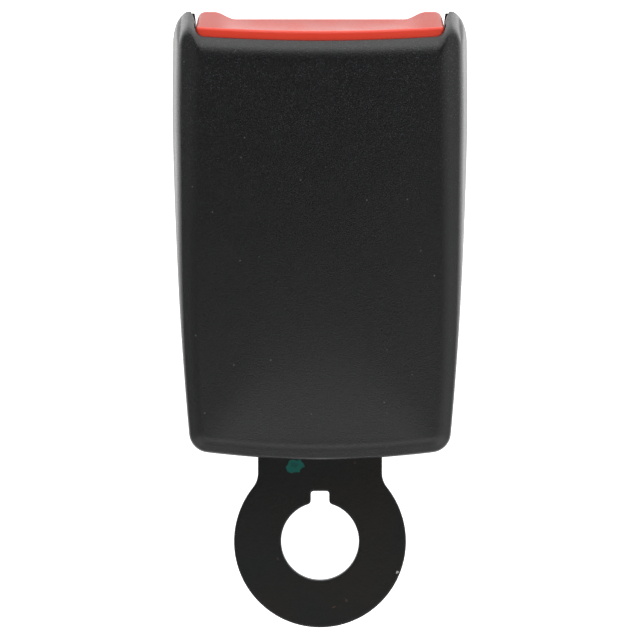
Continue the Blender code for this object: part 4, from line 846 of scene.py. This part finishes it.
def plate_outline():
    """The plate's outline, counter-clockwise: ring, filleted neck and square inner end."""
    centre_x = NECK_HALF_WIDTH + NECK_FILLET
    centre_y = sqrt((RING_RADIUS + NECK_FILLET) ** 2 - centre_x ** 2)
    meeting = degrees(atan2(centre_y, centre_x))
    ring = arc((0, RING_Y), RING_RADIUS, -90, meeting, RING_STEPS)
    fillet = arc((centre_x, RING_Y + centre_y), NECK_FILLET, meeting + 180, 180, steps=24)[1:]
    centre = (NECK_HALF_WIDTH - PLATE_CORNER, PLATE_END - PLATE_CORNER)
    corner = arc(centre, PLATE_CORNER, 0, 90, steps=8)
    neck = [(NECK_HALF_WIDTH, y) for y in spread(fillet[-1][1], corner[0][1], steps=20)[1:-1]]
    right = ring + fillet + neck + corner
    return right + [(-x, y) for x, y in right[:0:-1]]


def keyed_hole():
    """The bolt hole with its keyway, counter-clockwise."""
    meeting_y = sqrt(BOLT_HOLE_RADIUS ** 2 - KEYWAY_HALF_WIDTH ** 2)
    start = degrees(asin(KEYWAY_HALF_WIDTH / BOLT_HOLE_RADIUS))
    flare = degrees(KEYWAY_FLARE / BOLT_HOLE_RADIUS)
    hole = arc((0, 0), BOLT_HOLE_RADIUS, 90 + start + flare, 450 - start - flare, RING_STEPS)
    side = [(KEYWAY_HALF_WIDTH, meeting_y), (KEYWAY_HALF_WIDTH, meeting_y + KEYWAY_FLARE)]
    turn = [tuple(bezier([hole[-1] + (0,)] + [p + (0,) for p in side], share).xy)
            for share in spread(0.0, 1.0, steps=6)[1:]]
    centre = (KEYWAY_HALF_WIDTH - KEYWAY_CORNER, KEYWAY_REACH - KEYWAY_CORNER)
    corner = arc(centre, KEYWAY_CORNER, 0, 90, steps=6)
    right = turn + corner
    outline = hole + right + [(-x, y) for x, y in reversed(right)]
    return [(x, y + RING_Y) for x, y in outline]


def offset_loop(points, distance):
    """A closed counter-clockwise outline moved inwards by a distance."""
    moved = []
    count = len(points)
    for index in range(count):
        before, here, after = (Vector(points[(index + step) % count]) for step in (-1, 0, 1))
        one = (here - before).normalized()
        two = (after - here).normalized()
        way = Vector((-one.y - two.y, one.x + two.x)).normalized()
        stretch = max(way.dot(Vector((-one.y, one.x))), 0.5)
        moved.append(tuple(here + way * (distance / stretch)))
    return moved


def sheet_levels(low, high, low_edge, high_edge, steps=6):
    """Insets and heights of a cut sheet's edge, round at both faces."""
    levels = [(FACE_LAP * low_edge, low)]
    for angle in spread(0.0, pi / 2, steps):
        levels.append((low_edge * (1 - sin(angle)), low + low_edge * (1 - cos(angle))))
    for angle in spread(0.0, pi / 2, steps):
        levels.append((high_edge * (1 - cos(angle)), high - high_edge * (1 - sin(angle))))
    return levels + [(FACE_LAP * high_edge, high)]


def make_sheet(name, outline, holes, low, high, low_edge, high_edge):
    """A flat piece cut from sheet, with round edges and round-edged holes."""
    form = bmesh.new()
    levels = sheet_levels(low, high, low_edge, high_edge)
    for loop, way in [(outline, 1)] + [(hole, -1) for hole in holes]:
        rings = []
        for inset, z in levels:
            ring = [(x, y, z) for x, y in offset_loop(loop, way * inset)]
            rings.append(ring + ring[:1])
        add_grid(form, rings)
    bmesh.ops.remove_doubles(form, verts=form.verts, dist=MERGE_DISTANCE)
    for z in (low, high):
        rim = [edge for edge in form.edges
               if edge.is_boundary and all(abs(vertex.co.z - z) < 1e-6 for vertex in edge.verts)]
        bmesh.ops.triangle_fill(form, use_beauty=True, use_dissolve=False, edges=rim)
    return link_mesh(name, form)


def make_plate():
    """The steel plate with its ring, keyed hole and rivet holes."""
    holes = [keyed_hole()]
    for side in (-1, 1):
        holes.append(arc((side * RIVET_X, RIVET_Y), RIVET_RADIUS + GAP, 0, 360, steps=40)[:-1])
    return make_sheet("ring_plate", plate_outline(), holes, PLATE_LOW.z, PLATE_TOP, PLATE_CUT_EDGE,
                      PLATE_ROLLED_EDGE)


# Inside of the covers

SCREW_RADIUS = 0.00125
SCREW_HEAD_RADIUS = 0.0024
SCREW_SEAT = 0.005
SCREW_PLACES = [middle_of(*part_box(f"cover_screw_{number}")) for number in (1, 2, 3, 4)]
BOSS_RADIUS = 0.0032
BOSS_BACK_END = 0.0115
BOSS_ROOT = 0.001               # how deep a boss or rib reaches into the wall that it stands on
SCREW_HOLE_TOP = 0.0181
PAST_SURFACE = 0.001            # how far a cutter reaches past the surface that it cuts
RIB_PLACES = (0.0132, 0.0148)
RIB_TOP = 0.0057
HOLD_RIB = ((0.0160, 0.0180), (0.005, 0.012), 0.0133)
SPRING_X = 0.0236
SPRING_Z = 0.0175
SPRING_START = 0.00755
PEG_RADIUS = 0.0012
PEG_LENGTH = 0.003
POST_HALF_WIDTH = 0.0024
POST_LENGTH = 0.0025
POST_TOP = SPRING_Z + 0.003


def rod(name, axis, centre, radius, low, high, sides=32):
    return turned(name, axis, centre, [(radius, low), (radius, high)], sides)


def finish_front(cover):
    """The front cover's screw bosses, their holes and the ribs that hold the frame down."""
    bosses, holes = [], []
    for place in SCREW_PLACES:
        roof = PARTING + height_share(place[1]) * (CREASE_HEIGHT - WALL)
        bosses.append(rod("boss", "Z", place, BOSS_RADIUS, PARTING + GAP / 2, roof))
        low = PARTING - PAST_SURFACE
        holes.append(rod("hole", "Z", place, SCREW_RADIUS + GAP, low, SCREW_HOLE_TOP))
    (inner, outer), (start, end), bottom = HOLD_RIB
    start, end = FRAME_START + start, FRAME_START + end
    roof = PARTING + height_share(start) * CREASE_HEIGHT - WALL / 2
    for side in (-1, 1):
        left, right = sorted((side * inner, side * outer))
        bosses.append(block("hold", (left, start, bottom), (right, end, roof)))
    combine(cover, "UNION", *bosses)
    return combine(cover, "DIFFERENCE", *holes)


def finish_back(cover):
    """The back cover's screw bosses, recesses, ribs, spring posts and notch for the plate."""
    added, removed = [], []
    recess = SCREW_HEAD_RADIUS + GAP
    profile = [(recess + 2 * GAP, -GAP), (recess + GAP, 0.0), (recess, GAP), (recess, SCREW_SEAT)]
    top = PARTING + PAST_SURFACE
    for place in SCREW_PLACES:
        added.append(rod("boss", "Z", place, BOSS_RADIUS, BOSS_ROOT, BOSS_BACK_END))
        removed.append(turned("recess", "Z", place, profile))
        removed.append(rod("hole", "Z", place, SCREW_RADIUS + GAP, SCREW_SEAT - PAST_SURFACE, top))
    end = SPRING_START - GAP
    for side in (-1, 1):
        left, right = sorted(side * place for place in RIB_PLACES)
        low = (left, FRAME_START + GAP, BOSS_ROOT)
        added.append(block("rib", low, (right, COLLAR_START - GAP, RIB_TOP)))
        x = side * SPRING_X
        low = (x - POST_HALF_WIDTH, end - POST_LENGTH, BOSS_ROOT)
        added.append(block("post", low, (x + POST_HALF_WIDTH, end, POST_TOP)))
        start = end - POST_LENGTH / 2
        added.append(rod("peg", "Y", (x, SPRING_Z), PEG_RADIUS, start, end + PEG_LENGTH, 24))
    half = NECK_HALF_WIDTH + GAP
    low = (-half, HOUSING_START - 2 * PAST_SURFACE, PLATE_LOW.z - GAP)
    inner_end = HOUSING_START + LOWER_SAG + WALL + 2 * PAST_SURFACE
    removed.append(block("notch", low, (half, inner_end, top)))
    combine(cover, "UNION", *added)
    return combine(cover, "DIFFERENCE", *removed)


# Springs, pins, rivets and screws

COIL_STEPS = 30
WIRE_SIDES = 10
CLOSE_PITCH = 2.6               # of a spring's end turns, in wire radii
HEAD_MIDDLE = 0.02              # the flat at the middle of a round head, as a share of its radius
HEAD_FLATNESS = 0.7
RIVET_HEAD = 0.0015
PIN_HEAD = 0.001
SCREW_CROWN = 0.35
SCREW_COLLAR = 0.0012
SCREW_TIP = 0.001
THREAD_CORE = SCREW_RADIUS * 0.84
THREAD_PITCH = 0.0007
THREAD_STEPS = ((THREAD_CORE, 0.0), (THREAD_CORE, 0.0002), (SCREW_RADIUS, 0.0004),
                (SCREW_RADIUS, 0.00048))
CROSS_WIDTH = 0.0015
CROSS_THICKNESS = 0.00035
CROSS_LEVELS = ((-0.0005, 1.15), (0.0008, 0.55))    # from the head's top: height and share of width


def coil(name, axis, centre, start, length, radius, wire, turns):
    """A round-wire compression spring with two close end turns, along one axis."""
    count = turns * COIL_STEPS
    close = CLOSE_PITCH * wire
    open_pitch = (length - 2 * wire - 2 * close) / (turns - 2)
    path = []
    for step in range(count + 1):
        turn = step / COIL_STEPS
        rise = min(turn, 1.0) * close + min(max(turn - 1.0, 0.0), turns - 2.0) * open_pitch
        rise += max(turn - (turns - 1.0), 0.0) * close
        angle = 2 * pi * turn
        first = centre[0] + (radius - wire) * cos(angle)
        second = centre[1] + (radius - wire) * sin(angle)
        path.append(Vector(place_on(axis, first, second, start + wire + rise)))
    rings = []
    middle = Vector(place_on(axis, *centre, 0.0))
    along = Vector(place_on(axis, 0.0, 0.0, 1.0))
    for index, spot in enumerate(path):
        ahead = (path[min(index + 1, count)] - path[max(index - 1, 0)]).normalized()
        out = spot - middle
        out = (out - along * out.dot(along)).normalized()
        up = ahead.cross(out).normalized()
        out = up.cross(ahead).normalized()
        rings.append([spot + wire * (out * cos(a) + up * sin(a))
                      for a in spread(0.0, 2 * pi, WIRE_SIDES)[:-1]])
    return loft(name, rings, smooth_angle=60.0)


def domed_head(radius, seat, top, crown=0.45):
    """A round head's profile, from its seat over a rounded rim to the middle of its crown."""
    height = top - seat
    rim = seat + height * (1 - crown)
    points = [(radius, seat), (radius, seat + (rim - seat) * 0.5)]
    for angle in spread(0.0, pi / 2, steps=9):
        share = max(cos(angle), HEAD_MIDDLE) ** HEAD_FLATNESS
        points.append((radius * share, rim + (top - rim) * sin(angle)))
    return points


def make_rivet(name, node):
    """An anchor rivet with a domed head on both sides."""
    low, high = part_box(node)
    middle = (low.z + high.z) / 2
    seat = high.z - RIVET_HEAD
    upper = [(RIVET_RADIUS, seat)] + domed_head((high.x - low.x) / 2, seat, high.z)
    lower = [(radius, 2 * middle - level) for radius, level in upper[::-1]]
    return turned(name, "Z", middle_of(low, high), lower + upper)


def make_pin(name, node, radius):
    """A pin across the buckle with a peened head at each end."""
    low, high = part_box(node)
    seat = high.x - PIN_HEAD
    right = [(radius, seat)] + domed_head((high.z - low.z) / 2, seat, high.x)
    left = [(place, -level) for place, level in right[::-1]]
    return turned(name, "X", middle_of(low, high, "X"), left + right, 40)


def make_screw(name, number):
    """A blackened screw with a cross recess in its head and rolled thread ridges on its shank."""
    low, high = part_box(f"cover_screw_{number}")
    middle = middle_of(low, high)
    seat = SCREW_SEAT - GAP
    head = domed_head(SCREW_HEAD_RADIUS, low.z, seat, SCREW_CROWN)
    profile = [(radius, seat + low.z - level) for radius, level in head[::-1]]
    profile += [(SCREW_RADIUS, seat), (SCREW_RADIUS, seat + SCREW_COLLAR)]
    level = seat + 0.0016
    while level < high.z - 2 * SCREW_TIP:
        profile += [(radius, level + rise) for radius, rise in THREAD_STEPS]
        level += THREAD_PITCH
    profile += [(THREAD_CORE, level), (THREAD_CORE, high.z - SCREW_TIP), (SCREW_RADIUS / 3, high.z)]
    screw = turned(name, "Z", middle, profile, 32, 30.0)
    for turned_round in (False, True):
        rings = []
        for rise, share in CROSS_LEVELS:
            a, b = CROSS_WIDTH * share, CROSS_THICKNESS
            if turned_round:
                a, b = b, a
            rings.append([(middle[0] + right * a, middle[1] + up * b, low.z + rise)
                          for right, up in ((-1, -1), (1, -1), (1, 1), (-1, 1))])
        combine(screw, "DIFFERENCE", loft("cross", rings))
    return screw


# Finishes

class Nodes:
    """A node tree with short ways to add to it. Sockets take a number, a colour or an output."""

    def __init__(self, tree, place):
        self.tree = tree
        self.place = self.add("ShaderNodeTexCoord")[place]

    def connect(self, node, sockets):
        """Fill a node's sockets, which are given by name or number."""
        for name, value in sockets.items():
            socket = node.inputs[name]
            if isinstance(value, bpy.types.NodeSocket):
                self.tree.links.new(value, socket)
            else:
                socket.default_value = (*value, 1.0) if socket.type == "RGBA" else value

    def add(self, kind, sockets=None, **settings):
        """The outputs of a new node."""
        node = self.tree.nodes.new(kind)
        for name, value in settings.items():
            setattr(node, name, value)
        self.connect(node, sockets or {})
        return node.outputs

    def math(self, operation, first, second):
        return self.add("ShaderNodeMath", {0: first, 1: second}, operation=operation)["Value"]

    def plus(self, first, second):
        return self.math("ADD", first, second)

    def times(self, product, *factors):
        for factor in factors:
            product = self.math("MULTIPLY", product, factor)
        return product

    def between(self, value, low, high, to_low=0.0, to_high=1.0):
        """A value mapped from one range to another, and held at its ends."""
        ranges = {"From Min": low, "From Max": high, "To Min": to_low, "To Max": to_high}
        return self.add("ShaderNodeMapRange", {"Value": value, **ranges})["Result"]

    def along(self, axis):
        """The place's X, Y or Z."""
        return self.add("ShaderNodeSeparateXYZ", {"Vector": self.place})[axis]


class Look(Nodes):
    """A material with a Principled shader, and patterns over the piece's own places."""

    def __init__(self, name, roughness, metallic=0.0, specular=0.5):
        self.material = bpy.data.materials.new(name)
        self.material.use_nodes = True
        super().__init__(self.material.node_tree, "Object")
        self.shader = self.tree.nodes["Principled BSDF"]
        self.connect(self.shader, {
            "Roughness": roughness, "Metallic": metallic, "Specular IOR Level": specular,
        })

    def noise(self, scale, detail=2.0, roughness=0.5, stretch=None):
        """A noise, finer with a larger scale. stretch scales X, Y and Z by themselves."""
        place = self.place
        if stretch:
            place = self.add("ShaderNodeMapping", {"Vector": place, "Scale": stretch})["Vector"]
        sockets = {"Vector": place, "Scale": scale, "Detail": detail, "Roughness": roughness}
        return self.add("ShaderNodeTexNoise", sockets)["Fac"]

    def cells(self, scale):
        """Scattered cells: the distance to the middle of each, and its own colour."""
        return self.add("ShaderNodeTexVoronoi", {"Vector": self.place, "Scale": scale})

    def mix(self, share, first, second):
        """A colour between two."""
        sockets = {"Factor": share, 6: first, 7: second}
        return self.add("ShaderNodeMix", sockets, data_type="RGBA")[2]

    def mottled(self, scale, detail, first, second, low=0.3, high=0.7):
        """Two colours that change into each other in patches."""
        return self.mix(self.between(self.noise(scale, detail), low, high), first, second)

    def painted_glint_cells(self, scale, share):
        """Painted glints: small bright grains painted into the colour in a share of scattered
        cells, each with its own strength.
        """
        cells = self.cells(scale)
        channels = self.add("ShaderNodeSeparateColor", {"Color": cells["Color"]})
        grain = self.between(cells["Distance"], 0.42, 0.18)
        chosen = self.between(channels[0], 1 - share, 1.02 - share)
        return self.times(grain, chosen, self.between(channels[1], 0.0, 1.0, 0.25, 1.0))

    def spot(self, centre, radii, angle=0.0, ragged=0.3):
        """A round spot seen along Z, with a ragged edge: 1 inside and 0 outside."""
        turn = (0.0, 0.0, radians(angle))
        sockets = {"Location": (*centre, 0.0), "Rotation": turn, "Scale": (*radii, 1.0)}
        sockets["Vector"] = self.place
        mapped = self.add("ShaderNodeMapping", sockets, vector_type="TEXTURE")["Vector"]
        length = self.add("ShaderNodeVectorMath", {0: mapped}, operation="LENGTH")["Value"]
        wobble = self.between(self.noise(1.2 / min(radii)), 0.3, 0.7, -ragged, ragged)
        return self.between(self.plus(length, wobble), 1.08, 0.92)

    def above(self, level):
        """1 above a height and 0 below it."""
        return self.between(self.along("Z"), level - 0.0001, level)

    def finish(self, color, roughness, relief, depth):
        """The material, with its colour, its roughness and a relief of up to a depth in metres."""
        normal = self.add("ShaderNodeBump", {"Height": relief, "Distance": depth})["Normal"]
        self.connect(self.shader, {"Base Color": color, "Roughness": roughness, "Normal": normal})
        return self.material


def brighter(color, factor):
    return tuple(channel * factor for channel in color)


# A short scratch beside the lip: its centre, radii, angle and raggedness
SCRATCH = ((-0.0169, 0.0538), (0.00042, 0.00008), 55.0, 0.2)
SCRATCH_LOWEST = LIP_HEIGHT - 0.0015


def moulded_black(name, color, worn, roughness):
    """Black plastic with a fine grain, faint mottling, a few pale specks of dust and painted glints
    that are brightest towards the lip.
    """
    look = Look(name, roughness)
    grain = look.noise(3600.0, roughness=0.6)
    fine = look.between(look.noise(4300.0, 1.0), 0.42, 0.68)
    shade = look.mix(fine, look.mottled(130.0, 3.0, color, worn), brighter(worn, 1.9))
    dust = look.between(look.cells(420.0)["Distance"], 0.085, 0.055)
    dusty = look.between(look.noise(160.0, 1.0), 0.54, 0.62)
    shade = look.mix(look.times(dust, dusty, 0.6), shade, brighter(worn, 22))
    # Painted glints: bright grains painted into the colour at 14 times the worn tone. They are
    # strongest towards the lip, where its rolled edge faces the light, and come in patches.
    lit_lip_glint_weight = look.between(look.along("Y"), 0.02, LIP - 0.002, 0.2, 1.0)
    patchy = look.between(look.noise(240.0), 0.35, 0.6, 0.35, 1.0)
    painted_glint_mask = look.times(look.painted_glint_cells(3300.0, 0.6), lit_lip_glint_weight, patchy)
    shade = look.mix(painted_glint_mask, shade, brighter(worn, 14))
    scratch = look.times(look.spot(*SCRATCH), look.above(SCRATCH_LOWEST), 0.7)
    shade = look.mix(scratch, shade, (0.09, 0.09, 0.09))
    rough = look.between(grain, 0.25, 0.75, roughness - 0.09, roughness + 0.09)
    return look.finish(shade, rough, grain, 0.00005)


def moulded_red(name):
    """Satin red plastic with a faint unevenness and painted light: the strip that faces the front
    gets a brighter red than the slope.
    """
    look = Look(name, 0.36, specular=0.4)
    shade = look.mottled(160.0, 2.0, (0.42, 0.030, 0.012), (0.47, 0.036, 0.015))
    # Painted light: the strip that faces the front, found by its height above the bowed face, gets
    # a brighter, more saturated red that stands in for the light falling on it.
    across = look.along("X")
    bow = look.times(across, across, CROWN / OPENING_HALF_WIDTH ** 2)
    height = look.plus(bow, look.along("Z"))
    front = look.between(height, BUTTON_FRONT - 0.0009, BUTTON_FRONT - 0.0004)
    shade = look.mix(front, shade, (0.86, 0.064, 0.033))
    fine = look.noise(2600.0)
    rough = look.between(look.times(look.noise(160.0), fine), 0.1, 0.4, 0.31, 0.42)
    return look.finish(shade, rough, fine, 0.000012)


# Marks on the plate's front: centre, radii, angle, colour and how much of it covers the coat
PLATE_MARKS = (
    ((-0.00515, -0.0298), (0.00170, 0.00140), 30.0, (0.004, 0.135, 0.108), 0.95),
    ((-0.0052, -0.0296), (0.0008, 0.0006), 0.0, (0.004, 0.055, 0.048), 0.5),
    ((0.0158, -0.0515), (0.00032, 0.00022), 40.0, (0.55, 0.55, 0.53), 0.8),
    ((-0.0086, -0.0488), (0.0004, 0.0002), -60.0, (0.07, 0.040, 0.024), 0.5),
)
PLATE_COAT = ((0.0080, 0.0090, 0.0096), (0.0115, 0.0105, 0.0088))
BARE_STEEL = (0.09, 0.055, 0.035)
HOLE_WALL_TINT = (0.020, 0.030, 0.042)
HOLE_WALL_REACH = BOLT_HOLE_RADIUS + 0.00016


def coated_steel(name):
    """Black coated steel: faint brown and blue casts, fine texture and small bare flecks."""
    look = Look(name, 0.42, specular=0.32)
    broad = look.noise(70.0, 3.0)
    fine = look.noise(1900.0, 3.0, 0.6)
    shade = look.mottled(70.0, 3.0, *PLATE_COAT, 0.35, 0.65)
    fleck = look.plus(look.cells(140.0)["Distance"], look.noise(900.0))
    shade = look.mix(look.times(look.between(fleck, 0.44, 0.40), 0.5), shade, BARE_STEEL)
    top = look.above(PLATE_TOP - 0.00006)
    hole = look.spot((0.0, RING_Y), (HOLE_WALL_REACH, HOLE_WALL_REACH), ragged=0.004)
    wall = look.between(look.math("SUBTRACT", hole, top), 0.0, 1.0)
    shade = look.mix(wall, shade, HOLE_WALL_TINT)
    for centre, radii, angle, paint, cover in PLATE_MARKS:
        shade = look.mix(look.times(look.spot(centre, radii, angle), top, cover), shade, paint)
    rough = look.between(fine, 0.3, 0.7, 0.36, 0.5)
    return look.finish(shade, rough, look.plus(fine, broad), 0.00003)


def metal(name, color, other, roughness, stretch, scale=900.0):
    """Worked steel with fine lines along its drawing or rolling direction."""
    look = Look(name, roughness, 1.0)
    lines = look.noise(scale, 3.0, 0.6, stretch)
    rough = look.between(lines, 0.3, 0.7, roughness - 0.08, roughness + 0.1)
    return look.finish(look.mottled(120.0, 2.0, color, other), rough, lines, 0.00001)


def plain_plastic(name, color, other, roughness):
    """Smooth moulded plastic with a slight unevenness."""
    look = Look(name, roughness)
    rough = look.between(look.noise(180.0, 3.0), 0.3, 0.7, roughness - 0.05, roughness + 0.07)
    return look.finish(look.mottled(180.0, 3.0, color, other), rough, look.noise(1500.0), 0.00001)


LENGTHWISE, CROSSWISE, EVEN = (1.0, 0.12, 1.0), (0.1, 1.0, 1.0), (1.0, 1.0, 1.0)
COVER = moulded_black("cover_plastic", (0.0034, 0.0036, 0.0040), (0.0052, 0.0055, 0.0060), 0.35)
RED = moulded_red("button_plastic")
PLATE = coated_steel("plate_coat")
INNER = plain_plastic("inner_plastic", (0.016, 0.016, 0.017), (0.024, 0.024, 0.025), 0.45)
WHITE = plain_plastic("ejector_plastic", (0.70, 0.69, 0.64), (0.76, 0.75, 0.70), 0.42)
FRAME_STEEL = metal("frame_plating", (0.50, 0.48, 0.40), (0.56, 0.55, 0.50), 0.36, LENGTHWISE)
PIN_STEEL = metal("pin_finish", (0.52, 0.52, 0.53), (0.60, 0.60, 0.60), 0.28, CROSSWISE)
SPRING_STEEL = metal("spring_finish", (0.58, 0.58, 0.59), (0.66, 0.66, 0.66), 0.26, EVEN, 1500.0)
SCREW_STEEL = metal("screw_finish", (0.03, 0.03, 0.032), (0.05, 0.048, 0.046), 0.36, EVEN, 1200.0)


def finish_piece(piece, material, body, slot, *nodes):
    """Give a piece its finish and body, and hide the solids that it stands for."""
    piece.data.materials.clear()
    piece.data.materials.append(material)
    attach(piece, body)
    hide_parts(*nodes)


def dress_node(name, material, edge=0.00015):
    """Give a solid that stays its finish and slightly round edges."""
    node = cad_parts[name]
    node.data.materials.clear()
    node.data.materials.append(material)
    weld = node.modifiers.new("weld", "WELD")
    weld.merge_threshold = 0.000001
    rounding = node.modifiers.new("round_edges", "BEVEL")
    rounding.width = edge
    rounding.segments = 2
    rounding.limit_method = "ANGLE"
    rounding.angle_limit = radians(35)


finish_piece(finish_front(make_shell(FRONT)), COVER, "housing", "cover_black", "front_cover")
finish_piece(finish_back(make_shell(BACK)), COVER, "housing", "cover_black", "back_cover")
finish_piece(make_button(), RED, "button", "button_red", "press_button")
finish_piece(make_plate(), PLATE, "housing", "plate_black", "anchor_plate")
for name in ("release_slider", "tongue_guide", "ejector_spring_seat"):
    dress_node(name, INNER)
dress_node("ejector", WHITE)
for name in ("base_frame", "spring_bridge", "latch_plate"):
    dress_node(name, FRAME_STEEL)
for name in ("anchor_rivet_left", "anchor_rivet_right"):
    finish_piece(make_rivet("domed_" + name, name), PIN_STEEL, "housing", "pin_steel", name)
for name, node, radius, body in (
    ("turned_pivot", "latch_pivot_pin", 0.002, "housing"),
    ("turned_follower", "cam_follower_pin", 0.0015, "latch"),
):
    finish_piece(make_pin(name, node, radius), PIN_STEEL, body, "pin_steel", node)
for number in (1, 2, 3, 4):
    finish_piece(make_screw(f"cross_screw_{number}", number), SCREW_STEEL, "housing", "screw_black",
                 f"cover_screw_{number}")

# Each spring: its node, axis, centre, start, length, outer radius, wire radius and turns, then the
# joint that presses it together, the place of its fixed end along the axis and the share left of it
SPRINGS = [
    (f"button_spring_{side}", "Y", (x, SPRING_Z), SPRING_START, 0.0179, 0.0023, 0.00035, 8,
     "button_press", 0.0, 0.665)
    for side, x in (("left", -SPRING_X), ("right", SPRING_X))
] + [
    ("ejector_spring", "Y", (0.0, 0.0102), 0.00365, 0.0213, 0.0016, 0.00025, 11,
     "ejector_slide", 0.0, 0.437),
    ("latch_spring", "Z", (0.0, 0.01675), 0.0159, None, 0.0025, 0.0003, 4,
     "latch_swing", 1.0, 0.54),
]
for node, axis, centre, start, length, radius, wire, turns, joint, fixed, keep in SPRINGS:
    low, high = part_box(node)
    length = length or high[AXES[axis][2]] - start
    spring = coil("wound_" + node, axis, centre, start, length, radius, wire, turns)
    finish_piece(spring, SPRING_STEEL, "housing", "spring_steel", node)
    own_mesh(spring)


# Floor, light and camera

CAMERA_DISTANCE = 0.65          # from the lens to the plate
CAMERA_VIEW = 11.51             # angle that the picture takes in
FLOOR_SIZE = 6.0
FLOOR_DEPTH = 0.00005           # how far the floor lies below the part
FLOOR_GLOW = 1.2

# The sky's brightness: all over, more towards +X, more towards +Y, and near the horizon
SKY_LEVEL = 0.42
SKY_TO_RIGHT = 0.30
SKY_AHEAD = 2.7
HORIZON_LEVEL = 1.1
HORIZON_BAND = (0.25, 0.05)
# Round patches of it: their middle, the angles off it where they start and are full, their strength
SHADE_ABOVE = ((0.0, 0.27, 0.963), 39, 20, 1.0)
GLOW_BEHIND = ((0.0, -0.47, 0.883), 28, 6, 1.5)
GLOWS_BESIDE = [((0.62 * side, -0.6, 0.5), 24, 12, 1.0) for side in (-1, 1)]


def make_floor():
    """A plain white floor that glows a little, so that it stays pale all over."""
    form = bmesh.new()
    half = FLOOR_SIZE / 2
    add_face(form, [(-half, -half, 0), (half, -half, 0), (half, half, 0), (-half, half, 0)])
    piece = link_mesh("floor", form)
    piece.location.z = -FLOOR_DEPTH
    look = Look("floor_white", 0.9, specular=0.1)
    look.connect(look.shader, {
        "Base Color": (0.86, 0.86, 0.86), "Emission Color": (1.0, 1.0, 1.0),
        "Emission Strength": FLOOR_GLOW,
    })
    piece.data.materials.append(look.material)


def soft_patch(sky, toward, start, full, strength):
    """A round patch, from nothing at one angle off its middle to full strength at another."""
    sockets = {0: sky.place, 1: Vector(toward).normalized()}
    facing = sky.add("ShaderNodeVectorMath", sockets, operation="DOT_PRODUCT")["Value"]
    start, full = (cos(radians(angle)) for angle in (start, full))
    return sky.between(facing, start, full, 0.0, strength)


def make_world():
    """Soft studio light from all round, darker straight overhead and brighter behind the button."""
    world = bpy.data.worlds.new("studio")
    bpy.context.scene.world = world
    world.use_nodes = True
    sky = Nodes(world.node_tree, "Generated")
    ahead = sky.math("MAXIMUM", sky.along("Y"), 0.0)
    level = sky.plus(sky.times(sky.along("X"), SKY_TO_RIGHT), SKY_LEVEL)
    level = sky.plus(level, sky.times(ahead, ahead, SKY_AHEAD))
    level = sky.plus(level, soft_patch(sky, *GLOW_BEHIND))
    level = sky.times(level, sky.math("SUBTRACT", 1.0, soft_patch(sky, *SHADE_ABOVE)))
    for patch in GLOWS_BESIDE:
        level = sky.plus(level, soft_patch(sky, *patch))
    low = sky.between(sky.along("Z"), *HORIZON_BAND)
    strength = sky.add("ShaderNodeMix", {"Factor": low, 2: level, 3: HORIZON_LEVEL})[0]
    sky.connect(sky.tree.nodes["Background"], {"Color": (1.0, 1.0, 1.0), "Strength": strength})


def make_camera():
    """The camera looks straight down on the part, with the button at the top of the picture."""
    camera = bpy.data.cameras.new("camera")
    camera.sensor_width = 36.0
    camera.lens = camera.sensor_width / 2 / tan(radians(CAMERA_VIEW / 2))
    camera.clip_start = 0.01
    camera.clip_end = 20.0
    holder = bpy.data.objects.new("camera", camera)
    bpy.context.scene.collection.objects.link(holder)
    holder.location = (0.0, 0.0, CAMERA_DISTANCE + (PLATE_LOW.z + PLATE_TOP) / 2)
    bpy.context.scene.camera = holder


make_floor()
make_world()
make_camera()
bpy.context.scene.view_settings.view_transform = "Standard"
